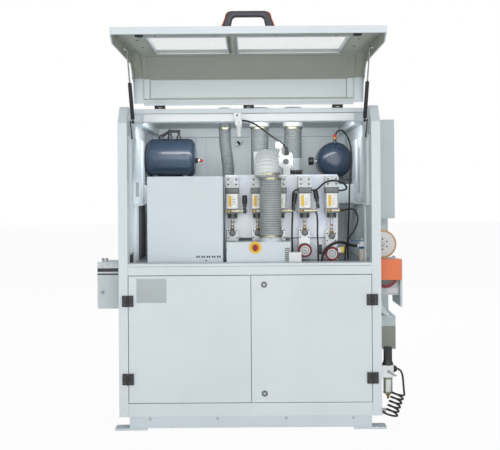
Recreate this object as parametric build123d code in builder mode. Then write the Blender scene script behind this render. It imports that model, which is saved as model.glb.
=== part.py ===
from build123d import *
import math
import os

# Automatic cross-cut saw in a sound-enclosure cabinet, with its hood standing open.
# Millimetres, +Z up, the operator stands on the -Y side, boards run along X from right to left.
# The origin is the middle of the floor anchors, on the floor.

# Cabinet, over the side frames
CABINET_WIDTH = 1420.0
CABINET_DEPTH = 1300.0
CABINET_TOP = 1757.0
WALL = 50.0
CHAMFER_HEIGHT = 94.0
CHAMFER_DEPTH = 79.0
DOCK_RECESS = 38.0
DOCK_RECESS_FRONT = 60.0
DOCK_RECESS_BACK = 600.0
DOCK_RECESS_HEIGHTS = (560.0, 1120.0)

# Plinth, floor plate and foot plates
FOOT_THICKNESS = 12.0
FOOT_LENGTH = 173.0
FOOT_DEPTH = 80.0
FOOT_OVERHANG = 24.0
ANCHOR_RADIUS = 9.0
ANCHOR_FROM_END = 18.0
ANCHOR_FROM_FRONT = 38.0
PLINTH_HEIGHT = 61.0
PLINTH_INSET = 5.0
PLINTH_WALL = 60.0
FLOOR_PLATE = 12.0

# Front rails, sill and the post behind the doors
RAIL_HEIGHT = 72.0
RAIL_DEPTH = 50.0
SILL_TOP = 900.0
SILL_HEIGHT = 63.0
SILL_DEPTH = 100.0
POST_LEFT = -20.0
POST_RIGHT = 45.0
POST_LIP = 21.0
POST_DEPTH = 40.0
POST_SHEET = 5.0
POST_GAP = 4.0

# Doors, their hinges and the quarter-turn locks
DOOR_THICKNESS = 20.0
DOOR_GAP = 3.0
DOOR_SEAM = 5.0
HINGE_SIZE = 60.0
HINGE_THICKNESS = 12.0
HINGE_KNUCKLE = 6.0
HINGE_PIN = 3.0
HINGE_LEAF_GAP = 7.0
HINGE_BAND = 20.0
HINGE_HEIGHTS = (278.0, 700.0)
LOCK_X = 76.0
LOCK_HEIGHTS = (196.0, 784.0)
LOCK_HEAD = 15.0
LOCK_HEAD_HEIGHT = 4.0
LOCK_SHAFT = 10.0
LOCK_TONGUE = (45.0, 18.0, 3.0)
RUNNING = 0.05
CLEAR = 0.3

# Roof, its dust outlets and the top beam
ROOF_THICKNESS = 37.0
OUTLET_HEIGHT = 60.0
BEAM_FRONT = 300.0
BEAM_DEPTH = 60.0
BEAM_RISE = 9.0
BEAM_FLANGE = 27.0
BEAM_HEIGHT = 76.0
BEAM_STEP = 20.0

# Hood: profile measured from its hinge axis, forward and up as it stands open
LID_HINGE_BACK = 295.0
LID_HINGE_RISE = 17.0
LID_SIDE_GAP = 4.0
LID_SHEET = 4.0
LID_LIP = 14.0
LID_ROOF = 156.0
LID_SLOPE = (150.0, 126.0)
LID_FACE_END = 877.0
LID_LINING = 15.0
LID_LINING_START = 36.0
LID_LINING_INSET = 56.0
LID_RIM = 15.0
LID_RIM_HEIGHT = 30.0
LID_CHEEK = 65.0
LID_CHEEK_AT_HINGE = 20.0
LID_CHEEK_CUT = 57.0
WINDOW_SPANS = ((-500.0, -110.0), (-55.0, 495.0))
WINDOW_REACH = (225.0, 718.0)
WINDOW_LAP = 20.0
WINDOW_SHEET = 4.0
LID_HINGE_XS = (-510.0, 0.0, 510.0)
LID_HINGE_WIDTH = 61.0
LID_HINGE_BARREL = 10.0
LID_HINGE_PIN = 5.0
LID_HINGE_BAND = 20.0
LID_HINGE_LEAF = (45.0, 6.0)

# Bridge handle on the hood
HANDLE_LENGTH = 262.0
HANDLE_HEIGHT = 84.0
HANDLE_DEPTH = 34.0
HANDLE_GRIP = 30.0
HANDLE_LEG = 44.0
HANDLE_SLANT = 26.0
HANDLE_FROM_EDGE = 62.0
HANDLE_ROUND = 10.0
HANDLE_CORNER = 24.0

# Gas struts, with their feet given behind the front and below the hood's hinge
STRUT_X = 634.0
STRUT_FOOT = (60.0, 111.0)
STRUT_STUD = (450.0, 252.0)
STRUT_CYLINDER = 10.5
STRUT_ROD = 4.0
STRUT_EYE = 9.0
STRUT_EYE_WIDTH = 8.0
STRUT_PIN = 4.0
STRUT_CYLINDER_SPAN = (18.0, 228.0)
STRUT_ROD_INSIDE = 40.0
STRUT_STROKE = 100.0
STRUT_STUD_RADIUS = 6.0
STRUT_STUD_GAP = 0.5
STRUT_PLATE = (646.0, 650.0)
STRUT_BRACKET_FOOT = (130.0, 191.0)
STRUT_BRACKET_RADIUS = 8.5

# Saw table, blade hood, main switch and outfeed cover
TABLE_DROP = 10.0
TABLE_THICKNESS = 20.0
TABLE_BACK = 940.0
BLADE_SLOT = (107.0, 552.0)
BLADE_SLOT_WIDTH = 14.0
BOARD_SPAN = (130.0, 372.0)
BOARD_HEIGHT = 56.0
HOOD_SPAN = (-128.0, 226.0)
HOOD_REACH = (106.0, 246.0)
HOOD_HEIGHT = 118.0
SHEET = 4.0
SWITCH_X = 31.0
SWITCH_DROP = 30.0
SWITCH_PLATE = 31.0
SWITCH_PLATE_THICKNESS = 5.0
SWITCH_SHAFT = 6.0
SWITCH_KNOB = 17.0
SWITCH_KNOB_HEIGHT = 12.0
SWITCH_GRIP = (36.0, 10.0, 16.0)
COVER_SPAN = (-569.0, -149.0)
COVER_REACH = (140.0, 600.0)
COVER_HEIGHT = 484.0
COVER_TUNNEL = (190.0, 380.0)

# Mounting plate and the five press-roller stations
PLATE_SPAN = (-140.0, 512.0)
PLATE_FRONT = 340.0
PLATE_THICKNESS = 20.0
PLATE_HEIGHT = 494.0
PLATE_ARCH = 130.0
PLATE_LEG = 36.0
STATION_XS = (-97.0, 47.0, 174.0, 316.0, 470.0)
STATION_DROPS = (0.0, 0.0, 0.0, 0.0, 20.0)
STATION_BACK = 278.0
BRACKET_DROP = 11.0
BRACKET_HEIGHT = 63.0
CYLINDER_SIZE = 75.0
CYLINDER_CAP_TOP = 34.0
CYLINDER_TUBE = 86.0
TUBE_WAIST = 5.0
CYLINDER_CAP_BOTTOM = 26.0
CYLINDER_NOSE = 29.0
CYLINDER_NOSE_SIZE = 52.0
PISTON_ROD = 8.0
PISTON_ROD_INSIDE = 150.0
PIN_RISE = 102.0
PIN_RADIUS = 17.0
SLIDE_WIDTH = 64.0
SLIDE_THICKNESS = 13.0
SLIDE_RISE = 24.0
GUIDE_WIDTH = 45.0
GUIDE_FOOT = 5.0
GUIDE_HEIGHT = 87.0
ROLLER_RISE = 60.0
ROLLER_RADIUS = 39.0
ROLLER_WIDTH = 44.0
ROLLER_AXLE = 10.0

# Air tanks
LEFT_TANK_RADIUS = 122.0
LEFT_TANK_SPAN = (-640.0, -335.0)
LEFT_TANK_BACK = 745.0
LEFT_TANK_DROP = 221.0
RIGHT_TANK_RADIUS = 112.0
RIGHT_TANK_X = 540.0
RIGHT_TANK_REACH = (700.0, 1030.0)
RIGHT_TANK_DROP = 236.0
LEFT_TANK_ROUND = 46.0
RIGHT_TANK_ROUND = 86.0
TANK_SHELF = 8.0
TANK_SADDLE = 30.0
TANK_FITTING = (10.0, 20.0)
TANK_FITTING_BACK = 760.0

# Dust hoses and the manifold behind the mounting plate
HOSE_BACK = 790.0
HOSE_WALL = 3.0
HOSE_RIB = 3.0
LEFT_HOSE_XS = (-152.0, -132.0)
LEFT_HOSE_RADIUS = 38.0
LEFT_HOSE_LEAN = (120.0, 270.0)
LEFT_HOSE_BEND = 400.0
CENTRE_HOSE_X = 67.0
CENTRE_HOSE_RADIUS = 56.0
RIGHT_HOSE_X = 278.0
RIGHT_HOSE_RADIUS = 56.0
RIGHT_HOSE_END = 1498.0
MANIFOLD_SPAN = (-230.0, 360.0)
MANIFOLD_REACH = (640.0, 920.0)
MANIFOLD_TOP = 1060.0
DUCT_SPAN = (28.0, 168.0)
DUCT_REACH = (640.0, 728.0)
DUCT_TOP = 1532.0
RISER_X = 119.0
RISER_BACK = 176.0
RISER_RADIUS = 61.0
COLLAR_HEIGHT = 35.0
RISER_LENGTH = 309.0
ELBOW_X = 98.0
ELBOW_RADIUS = 70.0
ELBOW_BEND = 75.0
ELBOW_ADAPTER = 24.0
ELBOW_STRAIGHT = 8.0
ELBOW_END = 570.0
RIB_PITCH = 13.0
FINE_RIB_PITCH = 10.0
RIB_SHOULDERS = (0.35, 0.65, 0.999)

# Work lamp, valve unit, ball valve
LAMP_X = -56.0
LAMP_BACK = 262.0
LAMP_DROP = 76.0
LAMP_LENGTH = 90.0
LAMP_RADII = (11.0, 18.0)
LAMP_ARM = 12.0
VALVE_X = 217.0
VALVE_BACK = 470.0
VALVE_SIZE = (84.0, 70.0, 74.0)
VALVE_Z = 1462.0
VALVE_STEM = 40.0
VALVE_FACE = 24.0
BALL_VALVE_X = 640.0
BALL_VALVE_BACK = 250.0
BALL_VALVE_Z = 1000.0
BALL_VALVE_BODY = 17.0
BALL_VALVE_LEVER = (62.0, 14.0, 5.0)
BALL_VALVE_STEM = 5.0
BALL_VALVE_TAIL = (9.0, 28.0, 975.0)

# Saw unit in the lower compartment
BLADE_X = 110.0
BLADE_RADIUS = 242.0
BLADE_THICKNESS = 4.0
BLADE_TEETH = 48
BLADE_TOOTH = 9.0
ARBOR_BACK = 330.0
ARBOR_Z = 600.0
ARBOR_RADIUS = 17.0
FLANGE_RADIUS = 60.0
FLANGE_THICKNESS = 12.0
HOUSING_RADIUS = 55.0
HOUSING_SPAN = (138.0, 250.0)
ARM_SPAN = (160.0, 196.0)
ARM_WIDTH = 130.0
PIVOT_BACK = 900.0
PIVOT_Z = 690.0
PIVOT_PIN = 20.0
PIVOT_TUBE = 38.0
PIVOT_TUBE_SPAN = (99.0, 296.0)
PEDESTAL_SPAN = (60.0, 335.0)
PEDESTAL_PLATE = 35.0
PEDESTAL_WIDTH = 120.0
PEDESTAL_FOOT = 16.0
MOTOR_BACK = 730.0
MOTOR_Z = 560.0
MOTOR_RADIUS = 88.0
MOTOR_SPAN = (-70.0, 150.0)
MOTOR_SHAFT = 14.0
MOTOR_BOX_TOP = 114.0
PULLEY_SPAN = (264.0, 292.0)
ARBOR_PULLEY = 50.0
MOTOR_PULLEY = 70.0
BELT_THICKNESS = 7.0
STROKE_BACK = 520.0
STROKE_SIZE = 76.0
STROKE_HEIGHTS = (200.0, 430.0)
STROKE_ROD = 11.0
STROKE_PAD = (17.0, 10.0)
STROKE_PAD_TOP = 560.0
STROKE_ROD_INSIDE = 140.0

# Infeed and outfeed ends beside the cabinet
DOCK_LENGTH = 140.0
INFEED_CHEEKS = (195.0, 365.0)
CHEEK_THICKNESS = 12.0
INFEED_BOTTOM = 700.0
FENCE_TOP = 901.0
DOCK_FLANGE = 12.0
DOCK_FLANGE_REACH = (150.0, 420.0)
DOCK_FLANGE_HEIGHTS = (640.0, 905.0)
DOCK_BOLT_RADIUS = 6.5
DOCK_BOLT_INSET = 22.0
WHEEL_X = 752.0
WHEEL_Z = 985.0
WHEEL_RADIUS = 78.0
WHEEL_THICKNESS = 14.0
WHEEL_BACK = 233.0
WHEEL_AXLE = 8.0
WHEEL_ARM = 34.0
WHEEL_ARM_TOP = 1090.0
FEED_X = 752.0
FEED_RADIUS = 72.0
FEED_WIDTH = 60.0
FEED_AXLE = 14.0
GUARD_REACH = 100.0
GUARD_BOTTOM = 794.0
GUARD_SHEET = 6.0
PANEL_GAP = 8.0
PANEL_BACK = 1240.0
PANEL_BAY_BACK = 640.0
PANEL_BAY_MARGIN = 5.0
PANEL_HEIGHTS = (360.0, 1703.0)
OUTFEED_REACH = (150.0, 430.0)
OUTFEED_BOTTOM = 640.0
OUTFEED_SHEET = 6.0
REGULATOR_X = 748.0
REGULATOR_BACK = 40.0
REGULATOR_BODY = (275.0, 340.0)
REGULATOR_SIZE = 54.0
REGULATOR_BOWL = (22.0, 186.0)
REGULATOR_KNOB = (20.0, 436.0)
REGULATOR_PORT = (11.0, 22.0, 318.0)
COIL_HOSE_RADIUS = 5.5
COIL_RADIUS = 32.0
COIL_TURNS = 5.5
COIL_TOP = (800.0, 2.0, 196.0)
COIL_FOOT = (757.0, 2.0, 74.0)
COIL_LEAD = ((829.0, 36.0, 276.0), (831.0, 30.0, 222.0))
COIL_SOCKET = (28.0, 28.0, 28.0)
COIL_SOCKET_BACK = 48.0
COIL_SOCKET_Z = 82.0

# Places worked out from the sizes above
HALF = CABINET_WIDTH / 2
INNER = HALF - WALL
FRONT = -CABINET_DEPTH / 2
BACK = CABINET_DEPTH / 2
BASE_Z = FOOT_THICKNESS + PLINTH_HEIGHT
FLOOR_TOP = BASE_Z + FLOOR_PLATE
RAIL_TOP = BASE_Z + RAIL_HEIGHT
SILL_BOTTOM = SILL_TOP - SILL_HEIGHT
TABLE_TOP = SILL_TOP - TABLE_DROP
TABLE_BOTTOM = TABLE_TOP - TABLE_THICKNESS
BOARD_TOP = TABLE_TOP + BOARD_HEIGHT
HOOD_TOP = TABLE_TOP + HOOD_HEIGHT
SWITCH_Z = HOOD_TOP - SWITCH_DROP
COVER_TOP = TABLE_TOP + COVER_HEIGHT
PLATE_TOP = TABLE_TOP + PLATE_HEIGHT
PLATE_BOTTOM = TABLE_TOP + PLATE_ARCH
BRACKET_HEIGHTS = (PLATE_TOP - BRACKET_DROP - BRACKET_HEIGHT, PLATE_TOP - BRACKET_DROP)
GUIDE_HEIGHTS = (PLATE_BOTTOM + GUIDE_FOOT, PLATE_BOTTOM + GUIDE_FOOT + GUIDE_HEIGHT)
ROLLER_Z = TABLE_TOP + ROLLER_RISE
PIN_Z = ROLLER_Z + PIN_RISE
SLIDE_TOP = PIN_Z + SLIDE_RISE
RISER_FOOT = HOOD_TOP + COLLAR_HEIGHT
RISER_TOP = RISER_FOOT + RISER_LENGTH
ELBOW_FOOT = RISER_TOP + ELBOW_ADAPTER
ELBOW_Z = ELBOW_FOOT + ELBOW_STRAIGHT + ELBOW_BEND
BEAM_BACK = BEAM_FRONT + BEAM_DEPTH
BEAM_TOP = CABINET_TOP + BEAM_RISE
LID_HINGE_HEIGHT = BEAM_TOP + LID_HINGE_RISE
ROOF_BOTTOM = CABINET_TOP - ROOF_THICKNESS
LEFT_TANK_Z = ROOF_BOTTOM - LEFT_TANK_DROP
RIGHT_TANK_Z = ROOF_BOTTOM - RIGHT_TANK_DROP
LID_HALF = INNER - LID_SIDE_GAP
LINING_HALF = LID_HALF - LID_LINING_INSET
HINGE_Y = FRONT + LID_HINGE_BACK
ANCHOR_X = HALF + FOOT_OVERHANG - ANCHOR_FROM_END
ANCHOR_Y = FRONT + ANCHOR_FROM_FRONT
DOCK_X = HALF + DOCK_LENGTH
LID_FACE = LID_ROOF + LID_SLOPE[1]


def behind(distance):
    """Y of a place this far behind the cabinet's front plane."""
    return FRONT + distance


def span_behind(reach):
    """Pair of Y values for a pair of distances behind the front plane."""
    return (behind(reach[0]), behind(reach[1]))


def slab(x, y, z, mode=Mode.ADD):
    """Box between two corners, each axis given as a low and a high value."""
    with Locations(((x[0] + x[1]) / 2, (y[0] + y[1]) / 2, (z[0] + z[1]) / 2)):
        Box(x[1] - x[0], y[1] - y[0], z[1] - z[0], mode=mode)


def bar(start, direction, radius, length, mode=Mode.ADD):
    """Round bar from a start point along a direction."""
    with Locations(Plane(origin=start, z_dir=direction)):
        Cylinder(radius, length, align=(Align.CENTER, Align.CENTER, Align.MIN), mode=mode)


def about(value, width):
    """Low and high value of a width centred on a value."""
    return (value - width / 2, value + width / 2)


def parallel_line(points, distance):
    """Polyline at a distance to the left of another one, with mitred corners."""
    normals = []
    for (x0, y0), (x1, y1) in zip(points, points[1:]):
        length = math.hypot(x1 - x0, y1 - y0)
        normals.append(((y0 - y1) / length, (x1 - x0) / length))
    shifted = []
    for index, (x, y) in enumerate(points):
        before = normals[max(index - 1, 0)]
        after = normals[min(index, len(normals) - 1)]
        scale = distance / (1 + before[0] * after[0] + before[1] * after[1])
        shifted.append((x + scale * (before[0] + after[0]), y + scale * (before[1] + after[1])))
    return shifted


def side_frame(inner_x, outward):
    """Side wall with a sloped front corner, a docking recess and the board opening."""
    outer_x = inner_x + outward * WALL
    recess = sorted((outer_x, outer_x - outward * DOCK_RECESS))
    wall = sorted((inner_x, outer_x))
    with BuildPart() as frame:
        with BuildSketch(Plane.YZ.offset(inner_x)):
            with BuildLine():
                Polyline(
                    (FRONT, BASE_Z),
                    (BACK, BASE_Z),
                    (BACK, CABINET_TOP),
                    (FRONT + CHAMFER_DEPTH, CABINET_TOP),
                    (FRONT, CABINET_TOP - CHAMFER_HEIGHT),
                    close=True,
                )
            make_face()
        extrude(amount=outward * WALL)
        slab(recess, span_behind((DOCK_RECESS_FRONT, DOCK_RECESS_BACK)), DOCK_RECESS_HEIGHTS, Mode.SUBTRACT)
        slab(wall, span_behind(BOARD_SPAN), (TABLE_TOP, BOARD_TOP), Mode.SUBTRACT)
    return frame


# Cabinet shell
side_frame_left = side_frame(-INNER, -1)
side_frame_right = side_frame(INNER, 1)

with BuildPart() as base_frame:
    for side in (-1, 1):
        for end in (-1, 1):
            plate_x = sorted((side * (HALF + FOOT_OVERHANG), side * (HALF + FOOT_OVERHANG - FOOT_LENGTH)))
            plate_y = sorted((end * BACK, end * (BACK - FOOT_DEPTH)))
            slab(plate_x, plate_y, (0, FOOT_THICKNESS))
    with GridLocations(2 * ANCHOR_X, -2 * ANCHOR_Y, 2, 2):
        Cylinder(ANCHOR_RADIUS, 4 * FOOT_THICKNESS, mode=Mode.SUBTRACT)
    plinth_x = INNER - PLINTH_INSET
    plinth_y = BACK - PLINTH_INSET
    slab((-plinth_x, plinth_x), (-plinth_y, plinth_y), (FOOT_THICKNESS, BASE_Z))
    inside_x = plinth_x - PLINTH_WALL
    inside_y = plinth_y - PLINTH_WALL
    slab((-inside_x, inside_x), (-inside_y, inside_y), (FOOT_THICKNESS, BASE_Z), Mode.SUBTRACT)
    slab((-INNER, INNER), (FRONT + RAIL_DEPTH, BACK - WALL), (BASE_Z, FLOOR_TOP))

with BuildPart() as front_frame:
    slab((-INNER, INNER), (FRONT, FRONT + RAIL_DEPTH), (BASE_Z, RAIL_TOP))
    slab((-INNER, INNER), (FRONT, FRONT + SILL_DEPTH), (SILL_BOTTOM, SILL_TOP))
    post_front = FRONT + DOOR_THICKNESS + POST_GAP
    slab((POST_LEFT, POST_RIGHT), (post_front, post_front + POST_SHEET), (RAIL_TOP, SILL_BOTTOM))
    slab((POST_LEFT, POST_RIGHT - POST_LIP), (post_front, post_front + POST_DEPTH), (RAIL_TOP, SILL_BOTTOM))

with BuildPart() as back_panel:
    slab((-INNER, INNER), (BACK - WALL, BACK), (BASE_Z, CABINET_TOP))

HOSES = (
    (LEFT_HOSE_XS[0], LEFT_HOSE_RADIUS),
    (CENTRE_HOSE_X, CENTRE_HOSE_RADIUS),
    (RIGHT_HOSE_X, RIGHT_HOSE_RADIUS),
)

with BuildPart() as roof_panel:
    slab((-INNER, INNER), (behind(BEAM_BACK), BACK - WALL), (ROOF_BOTTOM, CABINET_TOP))
    for hose_x, hose_radius in HOSES:
        outlet_foot = (hose_x, behind(HOSE_BACK), ROOF_BOTTOM)
        bar(outlet_foot, (0, 0, 1), hose_radius, ROOF_THICKNESS + OUTLET_HEIGHT)
        bore_radius = hose_radius - HOSE_RIB - HOSE_WALL
        bar(outlet_foot, (0, 0, 1), bore_radius, ROOF_THICKNESS + OUTLET_HEIGHT, Mode.SUBTRACT)
    slab((-INNER, INNER), span_behind((BEAM_FRONT, BEAM_BACK)), (BEAM_TOP - BEAM_FLANGE, BEAM_TOP))
    web_reach = span_behind((BEAM_FRONT + BEAM_STEP, BEAM_BACK))
    slab((-INNER, INNER), web_reach, (BEAM_TOP - BEAM_HEIGHT, BEAM_TOP))


# Door hinges: two knuckles and the pin on the side frame, one knuckle on the door
HINGE_AXIS_Y = FRONT - HINGE_THICKNESS


def hinge_leaf(x, z, outward, bands):
    """Square half of a hinge, on one side of its axis, with knuckles in the given height bands."""
    leaf_x = sorted((x + outward * HINGE_LEAF_GAP, x + outward * HINGE_SIZE / 2))
    slab(leaf_x, (HINGE_AXIS_Y, FRONT), about(z, HINGE_SIZE))
    bridge_x = sorted((x, x + outward * HINGE_LEAF_GAP))
    for low, high in bands:
        slab(bridge_x, (HINGE_AXIS_Y, HINGE_AXIS_Y + HINGE_KNUCKLE), (z + low, z + high))
        bar((x, HINGE_AXIS_Y, z + low), (0, 0, 1), HINGE_KNUCKLE, high - low)


SIDE_BANDS = ((-HINGE_SIZE / 2, -HINGE_BAND / 2), (HINGE_BAND / 2, HINGE_SIZE / 2))
DOOR_BANDS = ((-HINGE_BAND / 2 + CLEAR, HINGE_BAND / 2 - CLEAR),)


def lid_hinge_bar(x, low, high, radius, mode=Mode.ADD):
    """Round stretch of a hood hinge along its axis."""
    bar((x + low, HINGE_Y, LID_HINGE_HEIGHT), (1, 0, 0), radius, high - low, mode)


with BuildPart() as hinge_plates:
    for side in (-1, 1):
        for height in HINGE_HEIGHTS:
            hinge_leaf(side * INNER, height, side, SIDE_BANDS)
            bar((side * INNER, HINGE_AXIS_Y, height - HINGE_SIZE / 2), (0, 0, 1), HINGE_PIN, HINGE_SIZE)
    half_width = LID_HINGE_WIDTH / 2
    for hinge_x in LID_HINGE_XS:
        leaf_reach = (HINGE_Y + BEAM_FRONT - LID_HINGE_BACK, HINGE_Y + LID_HINGE_LEAF[0])
        slab(about(hinge_x, LID_HINGE_WIDTH), leaf_reach, (BEAM_TOP, BEAM_TOP + LID_HINGE_LEAF[1]))
        for low, high in ((-half_width, -LID_HINGE_BAND / 2), (LID_HINGE_BAND / 2, half_width)):
            block_y = (HINGE_Y, HINGE_Y + LID_HINGE_BARREL)
            slab((hinge_x + low, hinge_x + high), block_y, (BEAM_TOP, LID_HINGE_HEIGHT))
            lid_hinge_bar(hinge_x, low, high, LID_HINGE_BARREL)
        lid_hinge_bar(hinge_x, -half_width, half_width, LID_HINGE_PIN)


def door(low_x, high_x):
    """Filled door panel, with its front flush with the side frames."""
    with BuildPart() as panel:
        door_z = (RAIL_TOP + DOOR_GAP, SILL_BOTTOM - DOOR_GAP)
        slab((low_x, high_x), (FRONT, FRONT + DOOR_THICKNESS), door_z)
    return panel


left_door = door(DOOR_GAP - INNER, DOOR_SEAM - DOOR_GAP / 2)
right_door = door(DOOR_SEAM + DOOR_GAP / 2, INNER - DOOR_GAP)
with right_door:
    for height in LOCK_HEIGHTS:
        bar((LOCK_X, FRONT, height), (0, 1, 0), LOCK_SHAFT + RUNNING, DOOR_THICKNESS, Mode.SUBTRACT)


def door_leaves(side):
    """Two hinge halves that move with a door."""
    with BuildPart() as leaves:
        for height in HINGE_HEIGHTS:
            hinge_leaf(side * INNER, height, -side, DOOR_BANDS)
            pin_foot = (side * INNER, HINGE_AXIS_Y, height - HINGE_SIZE / 2)
            bar(pin_foot, (0, 0, 1), HINGE_PIN + RUNNING, HINGE_SIZE, Mode.SUBTRACT)
    return leaves


left_door_hinges = door_leaves(-1)
right_door_hinges = door_leaves(1)


def quarter_turn_lock(z):
    """Slotted head, shaft and tongue; the tongue stands upright while unlocked."""
    tongue_front = FRONT + DOOR_THICKNESS + POST_GAP + POST_SHEET + LOCK_TONGUE[2]
    head_back = FRONT - CLEAR
    with BuildPart() as lock:
        bar((LOCK_X, head_back - LOCK_HEAD_HEIGHT, z), (0, 1, 0), LOCK_HEAD, LOCK_HEAD_HEIGHT)
        bar((LOCK_X, head_back, z), (0, 1, 0), LOCK_SHAFT, tongue_front + LOCK_TONGUE[2] - head_back)
        slab(
            about(LOCK_X, LOCK_TONGUE[1]),
            (tongue_front, tongue_front + LOCK_TONGUE[2]),
            (z - LOCK_TONGUE[0], z + LOCK_TONGUE[1] / 2),
        )
        slot_y = (head_back - LOCK_HEAD_HEIGHT, head_back - LOCK_HEAD_HEIGHT / 2)
        slab(about(LOCK_X, LOCK_HEAD_HEIGHT), slot_y, about(z, LOCK_HEAD), Mode.SUBTRACT)
    return lock


lower_lock = quarter_turn_lock(LOCK_HEIGHTS[0])
upper_lock = quarter_turn_lock(LOCK_HEIGHTS[1])


# Hood
def lid_points(points):
    """Y and Z of points given forward of and above the hood's hinge axis."""
    return [(HINGE_Y - forward, LID_HINGE_HEIGHT + up) for forward, up in points]


def lid_strip(x, outline):
    """Solid between two X values with an outline given forward of and above the hinge axis."""
    with BuildSketch(Plane.YZ.offset(x[0])) as profile:
        with BuildLine():
            Polyline(*lid_points(outline), close=True)
        make_face()
    extrude(profile.sketch, amount=x[1] - x[0])


LID_FOLD = (0, LID_ROOF)
LID_CREST = (LID_SLOPE[0], LID_FACE)
lid_line = [(0, LID_LIP), LID_FOLD, LID_CREST, (LID_FACE_END, LID_FACE)]
lining_line = [(0, LID_LINING_START), LID_FOLD, LID_CREST, (LID_FACE_END - LID_RIM, LID_FACE)]
cheek_line = parallel_line(lid_line, -LID_CHEEK)
cheek_end = LID_FACE_END - LID_CHEEK_CUT

with BuildPart() as lid_skin:
    lid_strip((-LID_HALF, LID_HALF), lid_line + parallel_line(lid_line, LID_SHEET)[::-1])
    rim_heights = (LID_FACE - LID_RIM_HEIGHT, LID_FACE)
    rim_near = LID_FACE_END - LID_RIM
    rim_outline = [(rim_near, rim_heights[0]), (LID_FACE_END, rim_heights[0])]
    rim_outline += [(LID_FACE_END, rim_heights[1]), (rim_near, rim_heights[1])]
    lid_strip((-LID_HALF, LID_HALF), rim_outline)
    cheek_outline = [(LID_CHEEK_AT_HINGE, LID_LIP), cheek_line[1], cheek_line[2]]
    cheek_outline += [(cheek_end, LID_FACE - LID_CHEEK), (LID_FACE_END, rim_heights[0])]
    cheek_outline += lid_line[::-1]
    stud_y, stud_z = lid_points([STRUT_STUD])[0]
    for side in (-1, 1):
        lid_strip(sorted((side * LID_HALF, side * (LID_HALF - LID_SHEET))), cheek_outline)
        stud_end = STRUT_X + STRUT_EYE_WIDTH / 2 + STRUT_STUD_GAP
        stud_length = LID_HALF - LID_SHEET - stud_end
        bar((side * stud_end, stud_y, stud_z), (side, 0, 0), STRUT_STUD_RADIUS, stud_length)
    for span in WINDOW_SPANS:
        window_y = (HINGE_Y - WINDOW_REACH[1], HINGE_Y - WINDOW_REACH[0])
        window_z = (LID_HINGE_HEIGHT + LID_FACE - LID_SHEET, LID_HINGE_HEIGHT + LID_FACE + 2 * LID_SHEET)
        slab(span, window_y, window_z, Mode.SUBTRACT)

with BuildPart() as lid_lining:
    lid_strip((-LINING_HALF, LINING_HALF), lining_line + parallel_line(lining_line, -LID_LINING)[::-1])
    lining_z = (LID_HINGE_HEIGHT + LID_FACE - 2 * LID_LINING, LID_HINGE_HEIGHT + LID_FACE + LID_LINING)
    for span in WINDOW_SPANS:
        slab(span, (HINGE_Y - WINDOW_REACH[1], HINGE_Y - WINDOW_REACH[0]), lining_z, Mode.SUBTRACT)

with BuildPart() as lid_windows:
    pane_top = LID_HINGE_HEIGHT + LID_FACE - LID_LINING
    pane_y = (HINGE_Y - WINDOW_REACH[1] - WINDOW_LAP, HINGE_Y - WINDOW_REACH[0] + WINDOW_LAP)
    for low, high in WINDOW_SPANS:
        slab((low - WINDOW_LAP, high + WINDOW_LAP), pane_y, (pane_top - WINDOW_SHEET, pane_top))

with BuildPart() as lid_hinges:
    leaf_y = (HINGE_Y + LID_SHEET, HINGE_Y + 2 * LID_SHEET)
    tongue_half = LID_HINGE_BAND / 2 - CLEAR
    for hinge_x in LID_HINGE_XS:
        lid_hinge_bar(hinge_x, -tongue_half, tongue_half, LID_HINGE_BARREL)
        leaf_low = LID_HINGE_HEIGHT + LID_HINGE_BARREL + 2 * CLEAR
        leaf_high = LID_HINGE_HEIGHT + LID_HINGE_LEAF[0]
        slab(about(hinge_x, 2 * tongue_half), leaf_y, (LID_HINGE_HEIGHT, leaf_high))
        slab(about(hinge_x, LID_HINGE_WIDTH), leaf_y, (leaf_low, leaf_high))
        lid_hinge_bar(hinge_x, -LID_HINGE_WIDTH, LID_HINGE_WIDTH, LID_HINGE_PIN + RUNNING, Mode.SUBTRACT)

with BuildPart() as lid_handle:
    handle_y = HINGE_Y - LID_FACE_END + HANDLE_FROM_EDGE
    handle_foot = LID_HINGE_HEIGHT + LID_FACE + LID_SHEET
    half_length = HANDLE_LENGTH / 2
    with BuildSketch(Plane.XZ.offset(-handle_y - HANDLE_DEPTH / 2)):
        with BuildLine():
            Polyline(
                (-half_length, handle_foot),
                (half_length, handle_foot),
                (half_length - HANDLE_SLANT, handle_foot + HANDLE_HEIGHT),
                (HANDLE_SLANT - half_length, handle_foot + HANDLE_HEIGHT),
                close=True,
            )
        make_face()
        fillet(vertices().group_by(Axis.Y)[-1], HANDLE_CORNER)
        with BuildLine():
            finger_half = half_length - HANDLE_LEG
            finger_top = handle_foot + HANDLE_HEIGHT - HANDLE_GRIP
            Polyline(
                (-finger_half, handle_foot),
                (finger_half, handle_foot),
                (finger_half - HANDLE_SLANT / 2, finger_top),
                (HANDLE_SLANT / 2 - finger_half, finger_top),
                close=True,
            )
        make_face(mode=Mode.SUBTRACT)
    extrude(amount=HANDLE_DEPTH)
    fillet(edges().filter_by(Axis.Y, reverse=True).group_by(Axis.Z)[-1], HANDLE_ROUND)


# Gas struts, from the bracket beside the front corner to the stud on the hood's cheek
STRUT_START = (behind(STRUT_FOOT[0]), LID_HINGE_HEIGHT - STRUT_FOOT[1])
STRUT_RUN = (stud_y - STRUT_START[0], stud_z - STRUT_START[1])
STRUT_LENGTH = math.hypot(*STRUT_RUN)
STRUT_DIRECTION = (0, STRUT_RUN[0] / STRUT_LENGTH, STRUT_RUN[1] / STRUT_LENGTH)


def along_strut(side, distance):
    """Point of a strut's axis at a distance from its lower pivot."""
    return (
        side * STRUT_X,
        STRUT_START[0] + distance * STRUT_DIRECTION[1],
        STRUT_START[1] + distance * STRUT_DIRECTION[2],
    )


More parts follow.
